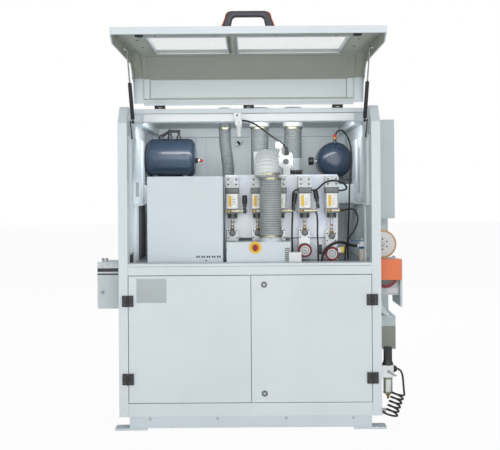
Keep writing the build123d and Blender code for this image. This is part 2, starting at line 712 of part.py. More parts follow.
def strut_eye(side, distance, bore=0.0):
    """Flat round eye across a strut's axis."""
    x, y, z = along_strut(side, distance)
    low_x = x - STRUT_EYE_WIDTH / 2
    bar((low_x, y, z), (1, 0, 0), STRUT_EYE, STRUT_EYE_WIDTH)
    if bore:
        bar((low_x, y, z), (1, 0, 0), bore, STRUT_EYE_WIDTH, Mode.SUBTRACT)


def strut_cylinder(side):
    """Lower half of a gas strut with its eye and the bore for the rod."""
    low, high = STRUT_CYLINDER_SPAN
    rod_room = STRUT_ROD_INSIDE + STRUT_STROKE + STRUT_CYLINDER
    with BuildPart() as cylinder:
        bar(along_strut(side, 0), STRUT_DIRECTION, STRUT_ROD, low)
        strut_eye(side, 0, STRUT_PIN + RUNNING)
        bar(along_strut(side, low), STRUT_DIRECTION, STRUT_CYLINDER, high - low)
        bar(along_strut(side, high - rod_room), STRUT_DIRECTION, STRUT_ROD + RUNNING, rod_room, Mode.SUBTRACT)
    return cylinder


def strut_rod(side):
    """Upper half of a gas strut with its eye."""
    start = STRUT_CYLINDER_SPAN[1] - STRUT_ROD_INSIDE
    with BuildPart() as rod:
        bar(along_strut(side, start), STRUT_DIRECTION, STRUT_ROD, STRUT_LENGTH - start)
        strut_eye(side, STRUT_LENGTH)
    return rod


strut_cylinder_left = strut_cylinder(-1)
strut_cylinder_right = strut_cylinder(1)
strut_rod_left = strut_rod(-1)
strut_rod_right = strut_rod(1)

with hinge_plates:
    foot_y = behind(STRUT_BRACKET_FOOT[0])
    foot_z = LID_HINGE_HEIGHT - STRUT_BRACKET_FOOT[1]
    for side in (-1, 1):
        near, far = STRUT_PLATE
        with BuildSketch(Plane.YZ.offset(side * near)):
            with Locations(STRUT_START, (foot_y, foot_z)):
                Circle(STRUT_BRACKET_RADIUS)
            make_hull()
        extrude(amount=side * (far - near))
        pin_end = STRUT_X - STRUT_EYE_WIDTH
        bar((side * pin_end, *STRUT_START), (side, 0, 0), STRUT_PIN, near - pin_end)
        bar((side * near, foot_y, foot_z), (side, 0, 0), STRUT_BRACKET_RADIUS, INNER - near)


# Saw table, hood over the blade, main switch and the cover over the outfeed side
with BuildPart() as saw_table:
    slab((-INNER, INNER), (behind(SILL_DEPTH), behind(TABLE_BACK)), (TABLE_BOTTOM, TABLE_TOP))
    slab(about(BLADE_X, BLADE_SLOT_WIDTH), span_behind(BLADE_SLOT), (TABLE_BOTTOM, TABLE_TOP), Mode.SUBTRACT)

with BuildPart() as blade_hood:
    slab(HOOD_SPAN, span_behind(HOOD_REACH), (TABLE_TOP, HOOD_TOP))
    inside = (HOOD_SPAN[0] + SHEET, HOOD_SPAN[1] - SHEET)
    inside_y = span_behind((HOOD_REACH[0] + SHEET, HOOD_REACH[1]))
    slab(inside, inside_y, (TABLE_TOP, HOOD_TOP - SHEET), Mode.SUBTRACT)
    collar_foot = (RISER_X, behind(RISER_BACK), HOOD_TOP - SHEET)
    bar(collar_foot, (0, 0, 1), RISER_RADIUS, RISER_FOOT - HOOD_TOP + SHEET)
    collar_bore = RISER_RADIUS - HOSE_RIB - HOSE_WALL
    bar(collar_foot, (0, 0, 1), collar_bore, RISER_FOOT - HOOD_TOP + SHEET, Mode.SUBTRACT)
    plate_y = behind(HOOD_REACH[0]) - SWITCH_PLATE_THICKNESS
    bar((SWITCH_X, plate_y, SWITCH_Z), (0, 1, 0), SWITCH_PLATE, SWITCH_PLATE_THICKNESS)
    shaft_room = SWITCH_PLATE_THICKNESS + SHEET
    bar((SWITCH_X, plate_y, SWITCH_Z), (0, 1, 0), SWITCH_SHAFT + RUNNING, shaft_room, Mode.SUBTRACT)

with BuildPart() as switch_knob:
    knob_y = plate_y - CLEAR - SWITCH_KNOB_HEIGHT
    shaft_length = SWITCH_KNOB_HEIGHT + shaft_room
    bar((SWITCH_X, knob_y, SWITCH_Z), (0, 1, 0), SWITCH_KNOB, SWITCH_KNOB_HEIGHT)
    bar((SWITCH_X, knob_y, SWITCH_Z), (0, 1, 0), SWITCH_SHAFT, shaft_length)
    grip_y = (knob_y - SWITCH_GRIP[1], knob_y)
    slab(about(SWITCH_X, SWITCH_GRIP[2]), grip_y, about(SWITCH_Z, SWITCH_GRIP[0]))

with BuildPart() as outfeed_cover:
    slab(COVER_SPAN, span_behind(COVER_REACH), (TABLE_TOP, COVER_TOP))
    inside = (COVER_SPAN[0] + SHEET, COVER_SPAN[1] - SHEET)
    inside_y = span_behind((COVER_REACH[0] + SHEET, COVER_REACH[1]))
    slab(inside, inside_y, (TABLE_TOP, COVER_TOP - SHEET), Mode.SUBTRACT)
    slab(COVER_SPAN, span_behind(COVER_TUNNEL), (TABLE_TOP, BOARD_TOP), Mode.SUBTRACT)


# Mounting plate and press-roller stations
STATION_Y = behind(STATION_BACK)
PLATE_Y = behind(PLATE_FRONT)
SLIDE_BACK = PLATE_FRONT - PLATE_THICKNESS - CLEAR

with BuildPart() as mounting_plate:
    plate_y = (PLATE_Y, PLATE_Y + PLATE_THICKNESS)
    slab(PLATE_SPAN, plate_y, (TABLE_TOP, PLATE_TOP))
    arch = (PLATE_SPAN[0] + PLATE_LEG, PLATE_SPAN[1] - PLATE_LEG)
    slab(arch, plate_y, (TABLE_TOP, PLATE_BOTTOM), Mode.SUBTRACT)
    for station_x in STATION_XS:
        slab(about(station_x, GUIDE_WIDTH), (PLATE_Y - PLATE_THICKNESS, PLATE_Y), GUIDE_HEIGHTS)

CAP_TOP = BRACKET_HEIGHTS[0]
TUBE_TOP = CAP_TOP - CYLINDER_CAP_TOP
TUBE_BOTTOM = TUBE_TOP - CYLINDER_TUBE
CAP_BOTTOM = TUBE_BOTTOM - CYLINDER_CAP_BOTTOM
NOSE_BOTTOM = CAP_BOTTOM - CYLINDER_NOSE

with BuildPart() as clamp_cylinders:
    for station_x in STATION_XS:
        square_x = about(station_x, CYLINDER_SIZE)
        square_y = about(STATION_Y, CYLINDER_SIZE)
        slab(square_x, (square_y[0], PLATE_Y), BRACKET_HEIGHTS)
        slab(square_x, square_y, (TUBE_TOP, CAP_TOP))
        tube_size = CYLINDER_SIZE - 2 * TUBE_WAIST
        slab(about(station_x, tube_size), about(STATION_Y, tube_size), (TUBE_BOTTOM, TUBE_TOP))
        slab(square_x, square_y, (CAP_BOTTOM, TUBE_BOTTOM))
        bar((station_x, STATION_Y, NOSE_BOTTOM), (0, 0, 1), CYLINDER_NOSE_SIZE / 2, CYLINDER_NOSE)
        bore_length = TUBE_TOP - NOSE_BOTTOM
        bar((station_x, STATION_Y, NOSE_BOTTOM), (0, 0, 1), PISTON_ROD + RUNNING, bore_length, Mode.SUBTRACT)


def roller_slide(x, drop):
    """Piston rod, pin, slide plate and axle that carry one press roller."""
    plate_front = behind(SLIDE_BACK - SLIDE_THICKNESS)
    roller_front = STATION_Y - ROLLER_WIDTH / 2
    with BuildPart() as slide:
        bar((x, STATION_Y, PIN_Z - drop), (0, 0, 1), PISTON_ROD, PISTON_ROD_INSIDE)
        bar((x, roller_front, PIN_Z - drop), (0, 1, 0), PIN_RADIUS, plate_front - roller_front)
        slide_z = (ROLLER_Z - drop - ROLLER_RADIUS / 2, SLIDE_TOP - drop)
        slab(about(x, SLIDE_WIDTH), (plate_front, behind(SLIDE_BACK)), slide_z)
        bar((x, roller_front, ROLLER_Z - drop), (0, 1, 0), ROLLER_AXLE, plate_front - roller_front)
    return slide


def press_roller(x, drop):
    """Tyred roller on its axle, with a stepped hub."""
    roller_front = STATION_Y - ROLLER_WIDTH / 2
    with BuildPart() as roller:
        bar((x, roller_front, ROLLER_Z - drop), (0, 1, 0), ROLLER_RADIUS, ROLLER_WIDTH)
        bar((x, roller_front, ROLLER_Z - drop), (0, 1, 0), ROLLER_AXLE + RUNNING, ROLLER_WIDTH, Mode.SUBTRACT)
    return roller


roller_slides = [roller_slide(x, drop) for x, drop in zip(STATION_XS, STATION_DROPS)]
press_rollers = [press_roller(x, drop) for x, drop in zip(STATION_XS, STATION_DROPS)]


# Air tanks on shelves fixed to the side frames
with BuildPart() as air_tanks:
    left_low, left_high = LEFT_TANK_SPAN
    bar((left_low, behind(LEFT_TANK_BACK), LEFT_TANK_Z), (1, 0, 0), LEFT_TANK_RADIUS, left_high - left_low)
    fillet(edges().filter_by(GeomType.CIRCLE), LEFT_TANK_ROUND)
    right_low, right_high = RIGHT_TANK_REACH
    bar((RIGHT_TANK_X, behind(right_low), RIGHT_TANK_Z), (0, 1, 0), RIGHT_TANK_RADIUS, right_high - right_low)
    fillet(edges(Select.LAST).filter_by(GeomType.CIRCLE), RIGHT_TANK_ROUND)
    fitting_foot = (RIGHT_TANK_X, behind(TANK_FITTING_BACK), RIGHT_TANK_Z)
    bar(fitting_foot, (0, 0, 1), TANK_FITTING[0], RIGHT_TANK_RADIUS + TANK_FITTING[1])
    left_shelf = LEFT_TANK_Z - LEFT_TANK_RADIUS - TANK_SHELF
    left_reach = about(behind(LEFT_TANK_BACK), LEFT_TANK_RADIUS)
    slab((-INNER, left_high - LEFT_TANK_ROUND), left_reach, (left_shelf - TANK_SHELF, left_shelf))
    for saddle_x in (left_low + 2 * TANK_SADDLE, left_high - 2 * TANK_SADDLE):
        slab(about(saddle_x, TANK_SADDLE), left_reach, (left_shelf, LEFT_TANK_Z - LEFT_TANK_RADIUS / 2))
    right_shelf = RIGHT_TANK_Z - RIGHT_TANK_RADIUS - TANK_SHELF
    right_x = about(RIGHT_TANK_X, RIGHT_TANK_RADIUS)
    right_reach = span_behind((right_low + RIGHT_TANK_ROUND, right_high - RIGHT_TANK_ROUND))
    slab((right_x[0], INNER), right_reach, (right_shelf - TANK_SHELF, right_shelf))
    for saddle_y in (right_reach[0] + TANK_SADDLE, right_reach[1] - TANK_SADDLE):
        slab(right_x, about(saddle_y, TANK_SADDLE), (right_shelf, RIGHT_TANK_Z - RIGHT_TANK_RADIUS / 2))


# Dust hoses: each rib is a ruled loft through four circles, over a plain bore
def ribbed_hose(points, bend, radius, pitch):
    """Hose along a route with rounded corners, with raised ribs outside and a plain bore."""
    with BuildPart() as hose:
        with BuildLine() as route:
            if len(points) > 2:
                FilletPolyline(*points, radius=bend)
            else:
                Line(*points)
        path = route.wires()[0]
        ribs = round(path.length / pitch)
        valley = radius - HOSE_RIB
        rise, fall, end = RIB_SHOULDERS
        rib_profile = ((0.0, valley), (rise, radius), (fall, radius), (end, valley))
        for index in range(ribs):
            for part_of_rib, rib_radius in rib_profile:
                place = (index + part_of_rib) / ribs
                tangent = path.tangent_at(place)
                with BuildSketch(Plane(path.position_at(place), x_dir=(1, 0, 0), z_dir=tangent)):
                    Circle(rib_radius)
        loft(ruled=True)
        with BuildSketch(Plane(path.position_at(0), x_dir=(1, 0, 0), z_dir=path.tangent_at(0))):
            Circle(valley - HOSE_WALL)
        sweep(path=path, mode=Mode.SUBTRACT)
    return hose


HOSE_Y = behind(HOSE_BACK)
left_hose = ribbed_hose(
    [
        (LEFT_HOSE_XS[0], HOSE_Y, ROOF_BOTTOM),
        (LEFT_HOSE_XS[0], HOSE_Y, ROOF_BOTTOM - LEFT_HOSE_LEAN[0]),
        (LEFT_HOSE_XS[1], HOSE_Y, ROOF_BOTTOM - LEFT_HOSE_LEAN[1]),
        (LEFT_HOSE_XS[1], HOSE_Y, MANIFOLD_TOP),
    ],
    LEFT_HOSE_BEND,
    LEFT_HOSE_RADIUS,
    FINE_RIB_PITCH,
)
centre_hose = ribbed_hose(
    [(CENTRE_HOSE_X, HOSE_Y, ROOF_BOTTOM), (CENTRE_HOSE_X, HOSE_Y, MANIFOLD_TOP)],
    0.0,
    CENTRE_HOSE_RADIUS,
    RIB_PITCH,
)
right_hose = ribbed_hose(
    [(RIGHT_HOSE_X, HOSE_Y, ROOF_BOTTOM), (RIGHT_HOSE_X, HOSE_Y, RIGHT_HOSE_END)],
    0.0,
    RIGHT_HOSE_RADIUS,
    RIB_PITCH,
)
riser = ribbed_hose(
    [(RISER_X, behind(RISER_BACK), RISER_FOOT), (RISER_X, behind(RISER_BACK), RISER_TOP)],
    0.0,
    RISER_RADIUS,
    RIB_PITCH,
)
elbow = ribbed_hose(
    [
        (ELBOW_X, behind(RISER_BACK), ELBOW_FOOT),
        (ELBOW_X, behind(RISER_BACK), ELBOW_Z),
        (ELBOW_X, behind(ELBOW_END), ELBOW_Z),
    ],
    ELBOW_BEND,
    ELBOW_RADIUS,
    RIB_PITCH,
)


def adapter(shrink, mode):
    """Round sleeve that leads from the riser to the wider elbow beside it."""
    with BuildSketch(Plane((RISER_X, behind(RISER_BACK), RISER_TOP))) as low_end:
        Circle(RISER_RADIUS - shrink)
    with BuildSketch(Plane((ELBOW_X, behind(RISER_BACK), ELBOW_FOOT))) as high_end:
        Circle(ELBOW_RADIUS - shrink)
    loft([low_end.sketch, high_end.sketch], mode=mode)


with BuildPart() as dust_hoses:
    adapter(HOSE_RIB, Mode.ADD)
    adapter(HOSE_RIB + HOSE_WALL, Mode.SUBTRACT)
    for hose in (left_hose, centre_hose, right_hose, riser, elbow):
        add(hose.part)

with BuildPart() as dust_manifold:
    slab(MANIFOLD_SPAN, span_behind(MANIFOLD_REACH), (TABLE_TOP, MANIFOLD_TOP))
    slab(DUCT_SPAN, span_behind(DUCT_REACH), (MANIFOLD_TOP, DUCT_TOP))
    stub_length = DUCT_REACH[0] - ELBOW_END
    bar((ELBOW_X, behind(ELBOW_END), ELBOW_Z), (0, 1, 0), ELBOW_RADIUS - HOSE_RIB, stub_length)
    pipe_radius = RIGHT_HOSE_RADIUS - HOSE_RIB
    bar((RIGHT_HOSE_X, HOSE_Y, MANIFOLD_TOP), (0, 0, 1), pipe_radius, RIGHT_HOSE_END - MANIFOLD_TOP)


# Work lamp under the top beam, and the valve unit on the mounting plate's top edge
with BuildPart() as work_lamp:
    lamp_top = BEAM_TOP - LAMP_DROP
    with Locations((LAMP_X, behind(LAMP_BACK), lamp_top - LAMP_LENGTH / 2)):
        Cone(LAMP_RADII[0], LAMP_RADII[1], LAMP_LENGTH)
    arm_reach = span_behind((LAMP_BACK, BEAM_FRONT + BEAM_STEP))
    slab(about(LAMP_X, LAMP_ARM), arm_reach, (lamp_top, lamp_top + LAMP_ARM))

with BuildPart() as air_valves:
    valve_y = about(behind(VALVE_BACK), VALVE_SIZE[1])
    slab(about(VALVE_X, VALVE_SIZE[0]), valve_y, about(VALVE_Z, VALVE_SIZE[2]))
    bar((VALVE_X, valve_y[0] - VALVE_STEM / 2, VALVE_Z), (0, 1, 0), VALVE_FACE, VALVE_STEM / 2)
    slab(about(VALVE_X, VALVE_STEM), (PLATE_Y, valve_y[1]), (PLATE_TOP, VALVE_Z - VALVE_SIZE[2] / 2))
    valve_y = behind(BALL_VALVE_BACK)
    bar((BALL_VALVE_X, valve_y, TABLE_TOP), (0, 0, 1), BALL_VALVE_BODY, BALL_VALVE_Z - TABLE_TOP)
    bar((BALL_VALVE_X, valve_y, BALL_VALVE_Z), (0, 0, 1), BALL_VALVE_STEM, BALL_VALVE_BODY)
    tail_radius, tail_length, tail_z = BALL_VALVE_TAIL
    bar((BALL_VALVE_X, valve_y, tail_z), (-1, 0, 0), tail_radius, tail_length)

with BuildPart() as valve_lever:
    lever_z = BALL_VALVE_Z + CLEAR
    lever_x = (BALL_VALVE_X - BALL_VALVE_LEVER[0], BALL_VALVE_X + BALL_VALVE_LEVER[1] / 2)
    slab(lever_x, about(valve_y, BALL_VALVE_LEVER[1]), (lever_z, lever_z + BALL_VALVE_LEVER[2]))
    stem_foot = (BALL_VALVE_X, valve_y, lever_z)
    bar(stem_foot, (0, 0, 1), BALL_VALVE_STEM + RUNNING, BALL_VALVE_LEVER[2], Mode.SUBTRACT)


# Air lines and cables: each route starts and ends square to the piece that holds it
CABLE_RADIUS = 5.0
SUPPLY_RADIUS = 8.0
BEND_SHARE = 0.45
VALVE_TOP = VALVE_Z + VALVE_SIZE[2] / 2
FITTING_TOP = RIGHT_TANK_Z + RIGHT_TANK_RADIUS + TANK_FITTING[1]
PORT_LEFT_4 = STATION_XS[3] - CYLINDER_SIZE / 2
PORT_RIGHT_4 = STATION_XS[3] + CYLINDER_SIZE / 2
PORT_RIGHT_5 = STATION_XS[4] + CYLINDER_SIZE / 2
TAIL_END = BALL_VALVE_X - BALL_VALVE_TAIL[1]
LAMP_SIDE = LAMP_X + LAMP_ARM / 2

# Each point is X, the distance behind the front plane, and Z
LAMP_CABLE = [
    (LAMP_SIDE, 290, 1696), (-14, 290, 1696), (40, 308, 1674), (100, 340, 1632), (158, 384, 1592),
    (208, 436, 1566), (222, 452, 1530), (222, 452, VALVE_TOP),
]
TANK_LINE = [
    (RIGHT_TANK_X, TANK_FITTING_BACK, FITTING_TOP), (RIGHT_TANK_X, TANK_FITTING_BACK, 1650),
    (576, 738, 1676), (614, 694, 1628), (630, 650, 1546), (626, 600, 1464), (612, 545, 1390),
    (598, 490, 1310), (590, 440, 1215), (582, 405, 1110), (574, 385, 1000), (574, 385, TABLE_TOP),
]
LOOP_LINE = [
    (PORT_RIGHT_5, 270, 1178), (548, 270, 1178), (600, 264, 1190), (622, 258, 1130), (602, 262, 1064),
    (562, 270, 1012), (546, 276, 952), (546, 276, TABLE_TOP),
]
SUPPLY_HOSE = [
    (404, 168, TABLE_TOP), (404, 168, 932), (438, 176, 978), (494, 190, 1002), (542, 214, 994),
    (578, 250, 975), (TAIL_END, 250, 975),
]
DROP_LINE_LEFT = [
    (PORT_LEFT_4, 262, 1296), (250, 262, 1296), (246, 256, 1232), (245, 254, 1146), (241, 257, 1046),
    (244, 262, 956), (244, 262, TABLE_TOP),
]
DROP_LINE_RIGHT = [
    (PORT_RIGHT_4, 258, 1178), (382, 258, 1178), (388, 248, 1118), (385, 242, 1044), (389, 239, 966),
    (389, 239, TABLE_TOP),
]
BRIDGE_LINE = [
    (PORT_RIGHT_4, 252, 1292), (386, 252, 1292), (416, 230, 1330), (464, 214, 1350), (520, 216, 1340),
    (556, 238, 1312), (548, 258, 1290), (PORT_RIGHT_5, 258, 1290),
]
CABLES = [LAMP_CABLE, TANK_LINE, LOOP_LINE, DROP_LINE_LEFT, DROP_LINE_RIGHT, BRIDGE_LINE]


def bend_radii(points):
    """Largest arc that each corner of a route has room for."""
    radii = []
    for before, corner, after in zip(points, points[1:], points[2:]):
        run_in = Vector(*corner) - Vector(*before)
        run_out = Vector(*after) - Vector(*corner)
        turn = math.radians(run_in.get_angle(run_out))
        radii.append(BEND_SHARE * min(run_in.length, run_out.length) / math.tan(turn / 2))
    return radii


def air_line(radius, places):
    """Tube along straight runs joined by tangent arcs."""
    points = [(x, behind(distance), z) for x, distance, z in places]
    radii = bend_radii(points)
    with BuildPart() as tube:
        with BuildLine() as route:
            FilletPolyline(*points, radius=radii)
        path = route.wires()[0]
        with BuildSketch(Plane(path.position_at(0), z_dir=path.tangent_at(0))):
            Circle(radius)
        sweep(path=path)
    share = round(tube.part.volume / (math.pi * radius**2 * path.length), 3)
    print("line length", round(path.length), "tightest bend", round(min(radii)), "volume share", share)
    return tube


with BuildPart() as air_lines:
    add(air_line(SUPPLY_RADIUS, SUPPLY_HOSE).part)
    for cable in CABLES:
        add(air_line(CABLE_RADIUS, cable).part)


# Saw unit: a swing arm lifts the blade through the table slot
ARBOR = (behind(ARBOR_BACK), ARBOR_Z)
PIVOT = (behind(PIVOT_BACK), PIVOT_Z)
MOTOR = (behind(MOTOR_BACK), MOTOR_Z)


def cross_bar(place, span, radius, mode=Mode.ADD):
    """Round bar along X between two X values at a Y and Z place."""
    bar((span[0], *place), (1, 0, 0), radius, span[1] - span[0], mode)


def strap(place_a, radius_a, place_b, radius_b, x, mode=Mode.ADD):
    """Plate or loop in the YZ plane wrapped round two circles."""
    with BuildSketch(Plane.YZ.offset(x[0])) as profile:
        with Locations(place_a):
            Circle(radius_a)
        with Locations(place_b):
            Circle(radius_b)
        make_hull()
    extrude(profile.sketch, amount=x[1] - x[0], mode=mode)


with BuildPart() as saw_arm:
    strap(ARBOR, ARM_WIDTH / 2, PIVOT, ARM_WIDTH / 2, ARM_SPAN)
    strap(MOTOR, MOTOR_RADIUS, PIVOT, ARM_WIDTH / 2, ARM_SPAN)
    cross_bar(ARBOR, HOUSING_SPAN, HOUSING_RADIUS)
    cross_bar(PIVOT, PIVOT_TUBE_SPAN, PIVOT_TUBE)
    cross_bar(ARBOR, HOUSING_SPAN, ARBOR_RADIUS + RUNNING, Mode.SUBTRACT)
    cross_bar(PIVOT, PIVOT_TUBE_SPAN, PIVOT_PIN + RUNNING, Mode.SUBTRACT)
    cross_bar(MOTOR, (MOTOR_SPAN[0], ARM_SPAN[0]), MOTOR_RADIUS)
    cross_bar(MOTOR, ARM_SPAN, MOTOR_SHAFT + 2 * CLEAR, Mode.SUBTRACT)
    cross_bar(MOTOR, (MOTOR_SPAN[1], ARM_SPAN[0]), MOTOR_SHAFT + RUNNING, Mode.SUBTRACT)
    terminal_y = about(MOTOR[0], MOTOR_RADIUS)
    slab(about(sum(MOTOR_SPAN) / 2, MOTOR_RADIUS), terminal_y, (MOTOR_Z, MOTOR_Z + MOTOR_BOX_TOP))

with BuildPart() as motor_pulley:
    cross_bar(MOTOR, (MOTOR_SPAN[1], PULLEY_SPAN[1]), MOTOR_SHAFT)
    cross_bar(MOTOR, PULLEY_SPAN, MOTOR_PULLEY)

with BuildPart() as arbor:
    flange_low = BLADE_X + BLADE_THICKNESS / 2
    cross_bar(ARBOR, (flange_low, PULLEY_SPAN[1]), ARBOR_RADIUS)
    cross_bar(ARBOR, (flange_low, flange_low + FLANGE_THICKNESS), FLANGE_RADIUS)
    cross_bar(ARBOR, PULLEY_SPAN, ARBOR_PULLEY)

with BuildPart() as drive_belt:
    belt_gap = CLEAR
    strap(
        ARBOR, ARBOR_PULLEY + belt_gap + BELT_THICKNESS,
        MOTOR, MOTOR_PULLEY + belt_gap + BELT_THICKNESS, PULLEY_SPAN,
    )
    strap(ARBOR, ARBOR_PULLEY + belt_gap, MOTOR, MOTOR_PULLEY + belt_gap, PULLEY_SPAN, Mode.SUBTRACT)

with BuildPart() as saw_blade:
    blade_low = BLADE_X - BLADE_THICKNESS / 2
    with BuildSketch(Plane.YZ.offset(blade_low)):
        with Locations(ARBOR):
            Circle(BLADE_RADIUS)
            with PolarLocations(BLADE_RADIUS, BLADE_TEETH):
                Circle(BLADE_TOOTH, mode=Mode.SUBTRACT)
    extrude(amount=BLADE_THICKNESS)
    cross_bar(ARBOR, (blade_low - FLANGE_THICKNESS, blade_low), FLANGE_RADIUS)

with BuildPart() as arm_pedestal:
    uprights = (
        (PEDESTAL_SPAN[0], PEDESTAL_SPAN[0] + PEDESTAL_PLATE),
        (PEDESTAL_SPAN[1] - PEDESTAL_PLATE, PEDESTAL_SPAN[1]),
    )
    pedestal_y = about(PIVOT[0], PEDESTAL_WIDTH)
    for upright in uprights:
        slab(upright, pedestal_y, (FLOOR_TOP, PIVOT_Z))
        cross_bar(PIVOT, upright, PEDESTAL_WIDTH / 2)
    slab(PEDESTAL_SPAN, pedestal_y, (FLOOR_TOP, FLOOR_TOP + PEDESTAL_FOOT))
    cross_bar(PIVOT, PEDESTAL_SPAN, PIVOT_PIN)

STROKE_X = sum(ARM_SPAN) / 2
STROKE_Y = behind(STROKE_BACK)

with BuildPart() as stroke_cylinder:
    slab(about(STROKE_X, STROKE_SIZE), about(STROKE_Y, STROKE_SIZE), STROKE_HEIGHTS)
    bar((STROKE_X, STROKE_Y, FLOOR_TOP), (0, 0, 1), STROKE_SIZE / 2, STROKE_HEIGHTS[0] - FLOOR_TOP)
    foot_z = (FLOOR_TOP, FLOOR_TOP + PEDESTAL_FOOT)
    slab(about(STROKE_X, 2 * STROKE_SIZE), about(STROKE_Y, 2 * STROKE_SIZE), foot_z)
    rod_foot = STROKE_HEIGHTS[1] - STROKE_ROD_INSIDE
    bore_foot = rod_foot - 2 * STROKE_ROD
    bore_length = STROKE_HEIGHTS[1] - bore_foot
    bar((STROKE_X, STROKE_Y, bore_foot), (0, 0, 1), STROKE_ROD + RUNNING, bore_length, Mode.SUBTRACT)

with BuildPart() as stroke_rod:
    bar((STROKE_X, STROKE_Y, rod_foot), (0, 0, 1), STROKE_ROD, STROKE_PAD_TOP - rod_foot)
    bar((STROKE_X, STROKE_Y, STROKE_PAD_TOP - STROKE_PAD[1]), (0, 0, 1), STROKE_PAD[0], STROKE_PAD[1])


# Infeed end on the right, with the measuring wheel, the feed wheel and its guard
RECESS_X = HALF - DOCK_RECESS
FEED_Z = TABLE_TOP - FEED_RADIUS
CHEEK_FRONT = behind(INFEED_CHEEKS[0])
CHEEK_BACK = behind(INFEED_CHEEKS[1])
WHEEL_Y = behind(WHEEL_BACK)


def dock_flange(low_x, high_x):
    """Flange with four bolt holes that the next table is bolted to."""
    reach = span_behind(DOCK_FLANGE_REACH)
    slab((low_x, high_x), reach, DOCK_FLANGE_HEIGHTS)
    slab(
        (low_x, high_x),
        (CHEEK_FRONT + CHEEK_THICKNESS, CHEEK_BACK),
        (TABLE_TOP, DOCK_FLANGE_HEIGHTS[1]),
        Mode.SUBTRACT,
    )
    for hole_y in (reach[0] + DOCK_BOLT_INSET, reach[1] - DOCK_BOLT_INSET):
        for hole_z in (DOCK_FLANGE_HEIGHTS[0] + DOCK_BOLT_INSET, TABLE_TOP - DOCK_BOLT_INSET):
            bar((low_x, hole_y, hole_z), (1, 0, 0), DOCK_BOLT_RADIUS, high_x - low_x, Mode.SUBTRACT)


with BuildPart() as infeed_frame:
    panel_x = (HALF, DOCK_X)
    panel_front = CHEEK_BACK + CHEEK_THICKNESS + PANEL_GAP
    slab(panel_x, (panel_front, behind(PANEL_BACK)), PANEL_HEIGHTS)
    recess_low, recess_high = DOCK_RECESS_HEIGHTS
    bay_z = (recess_low - PANEL_BAY_MARGIN, recess_high + PANEL_BAY_MARGIN)
    slab(panel_x, (panel_front, behind(PANEL_BAY_BACK)), bay_z, Mode.SUBTRACT)
    run_x = (RECESS_X, DOCK_X)
    slab(run_x, (CHEEK_FRONT, CHEEK_FRONT + CHEEK_THICKNESS), (INFEED_BOTTOM, FENCE_TOP))
    slab(run_x, (CHEEK_BACK, CHEEK_BACK + CHEEK_THICKNESS), (INFEED_BOTTOM, FENCE_TOP))
    slab(run_x, (CHEEK_FRONT, CHEEK_BACK), (INFEED_BOTTOM, INFEED_BOTTOM + CHEEK_THICKNESS))
    slab(run_x, (CHEEK_FRONT, CHEEK_BACK), (TABLE_TOP - CHEEK_THICKNESS, TABLE_TOP))
    dock_flange(DOCK_X - DOCK_FLANGE, DOCK_X)
    arm_x = about(WHEEL_X, WHEEL_ARM)
    arm_front = WHEEL_Y + WHEEL_THICKNESS / 2 + CLEAR
    slab(arm_x, (arm_front, arm_front + CHEEK_THICKNESS), (WHEEL_Z - WHEEL_ARM, WHEEL_ARM_TOP))
    slab(arm_x, (arm_front, CHEEK_BACK + CHEEK_THICKNESS), (WHEEL_ARM_TOP - WHEEL_ARM, WHEEL_ARM_TOP))
    slab(arm_x, (CHEEK_BACK, CHEEK_BACK + CHEEK_THICKNESS), (TABLE_TOP, WHEEL_ARM_TOP))
    wheel_front = WHEEL_Y - WHEEL_THICKNESS / 2
    axle_length = arm_front + CHEEK_THICKNESS - wheel_front
    bar((WHEEL_X, wheel_front, WHEEL_Z), (0, 1, 0), WHEEL_AXLE, axle_length)
    feed_front = CHEEK_FRONT - CLEAR - FEED_WIDTH
    bar((FEED_X, feed_front, FEED_Z), (0, 1, 0), FEED_AXLE, FEED_WIDTH + CHEEK_THICKNESS)

with BuildPart() as measuring_wheel:
    bar((WHEEL_X, wheel_front, WHEEL_Z), (0, 1, 0), WHEEL_RADIUS, WHEEL_THICKNESS)
    bar((WHEEL_X, wheel_front, WHEEL_Z), (0, 1, 0), WHEEL_AXLE + RUNNING, WHEEL_THICKNESS, Mode.SUBTRACT)

with BuildPart() as feed_wheel:
    bar((FEED_X, feed_front, FEED_Z), (0, 1, 0), FEED_RADIUS, FEED_WIDTH)
    bar((FEED_X, feed_front, FEED_Z), (0, 1, 0), FEED_AXLE + RUNNING, FEED_WIDTH, Mode.SUBTRACT)

with BuildPart() as feed_guard:
    guard_front = behind(GUARD_REACH)
    guard_x = (HALF + DOOR_GAP, DOCK_X - DOCK_FLANGE)
    slab(guard_x, (guard_front, guard_front + GUARD_SHEET), (GUARD_BOTTOM, FENCE_TOP + GUARD_SHEET))
    slab(guard_x, (guard_front, CHEEK_FRONT + CHEEK_THICKNESS), (FENCE_TOP, FENCE_TOP + GUARD_SHEET))

with BuildPart() as outfeed_table:
    run_x = (-DOCK_X, -RECESS_X)
    run_y = span_behind(OUTFEED_REACH)
    slab(run_x, run_y, (OUTFEED_BOTTOM, TABLE_TOP))
    slab(run_x, (run_y[0], run_y[0] + OUTFEED_SHEET), (TABLE_TOP, FENCE_TOP))
    inside_y = (run_y[0] + OUTFEED_SHEET, run_y[1] - OUTFEED_SHEET)
    inside_z = (OUTFEED_BOTTOM, TABLE_TOP - OUTFEED_SHEET)
    slab((DOCK_FLANGE - DOCK_X, -RECESS_X), inside_y, inside_z, Mode.SUBTRACT)
    for hole_y in (run_y[0] + 2 * DOCK_BOLT_INSET, run_y[1] - 2 * DOCK_BOLT_INSET):
        for hole_z in (OUTFEED_BOTTOM + 2 * DOCK_BOLT_INSET, TABLE_TOP - 2 * DOCK_BOLT_INSET):
            bar((-DOCK_X, hole_y, hole_z), (1, 0, 0), DOCK_BOLT_RADIUS, DOCK_FLANGE, Mode.SUBTRACT)

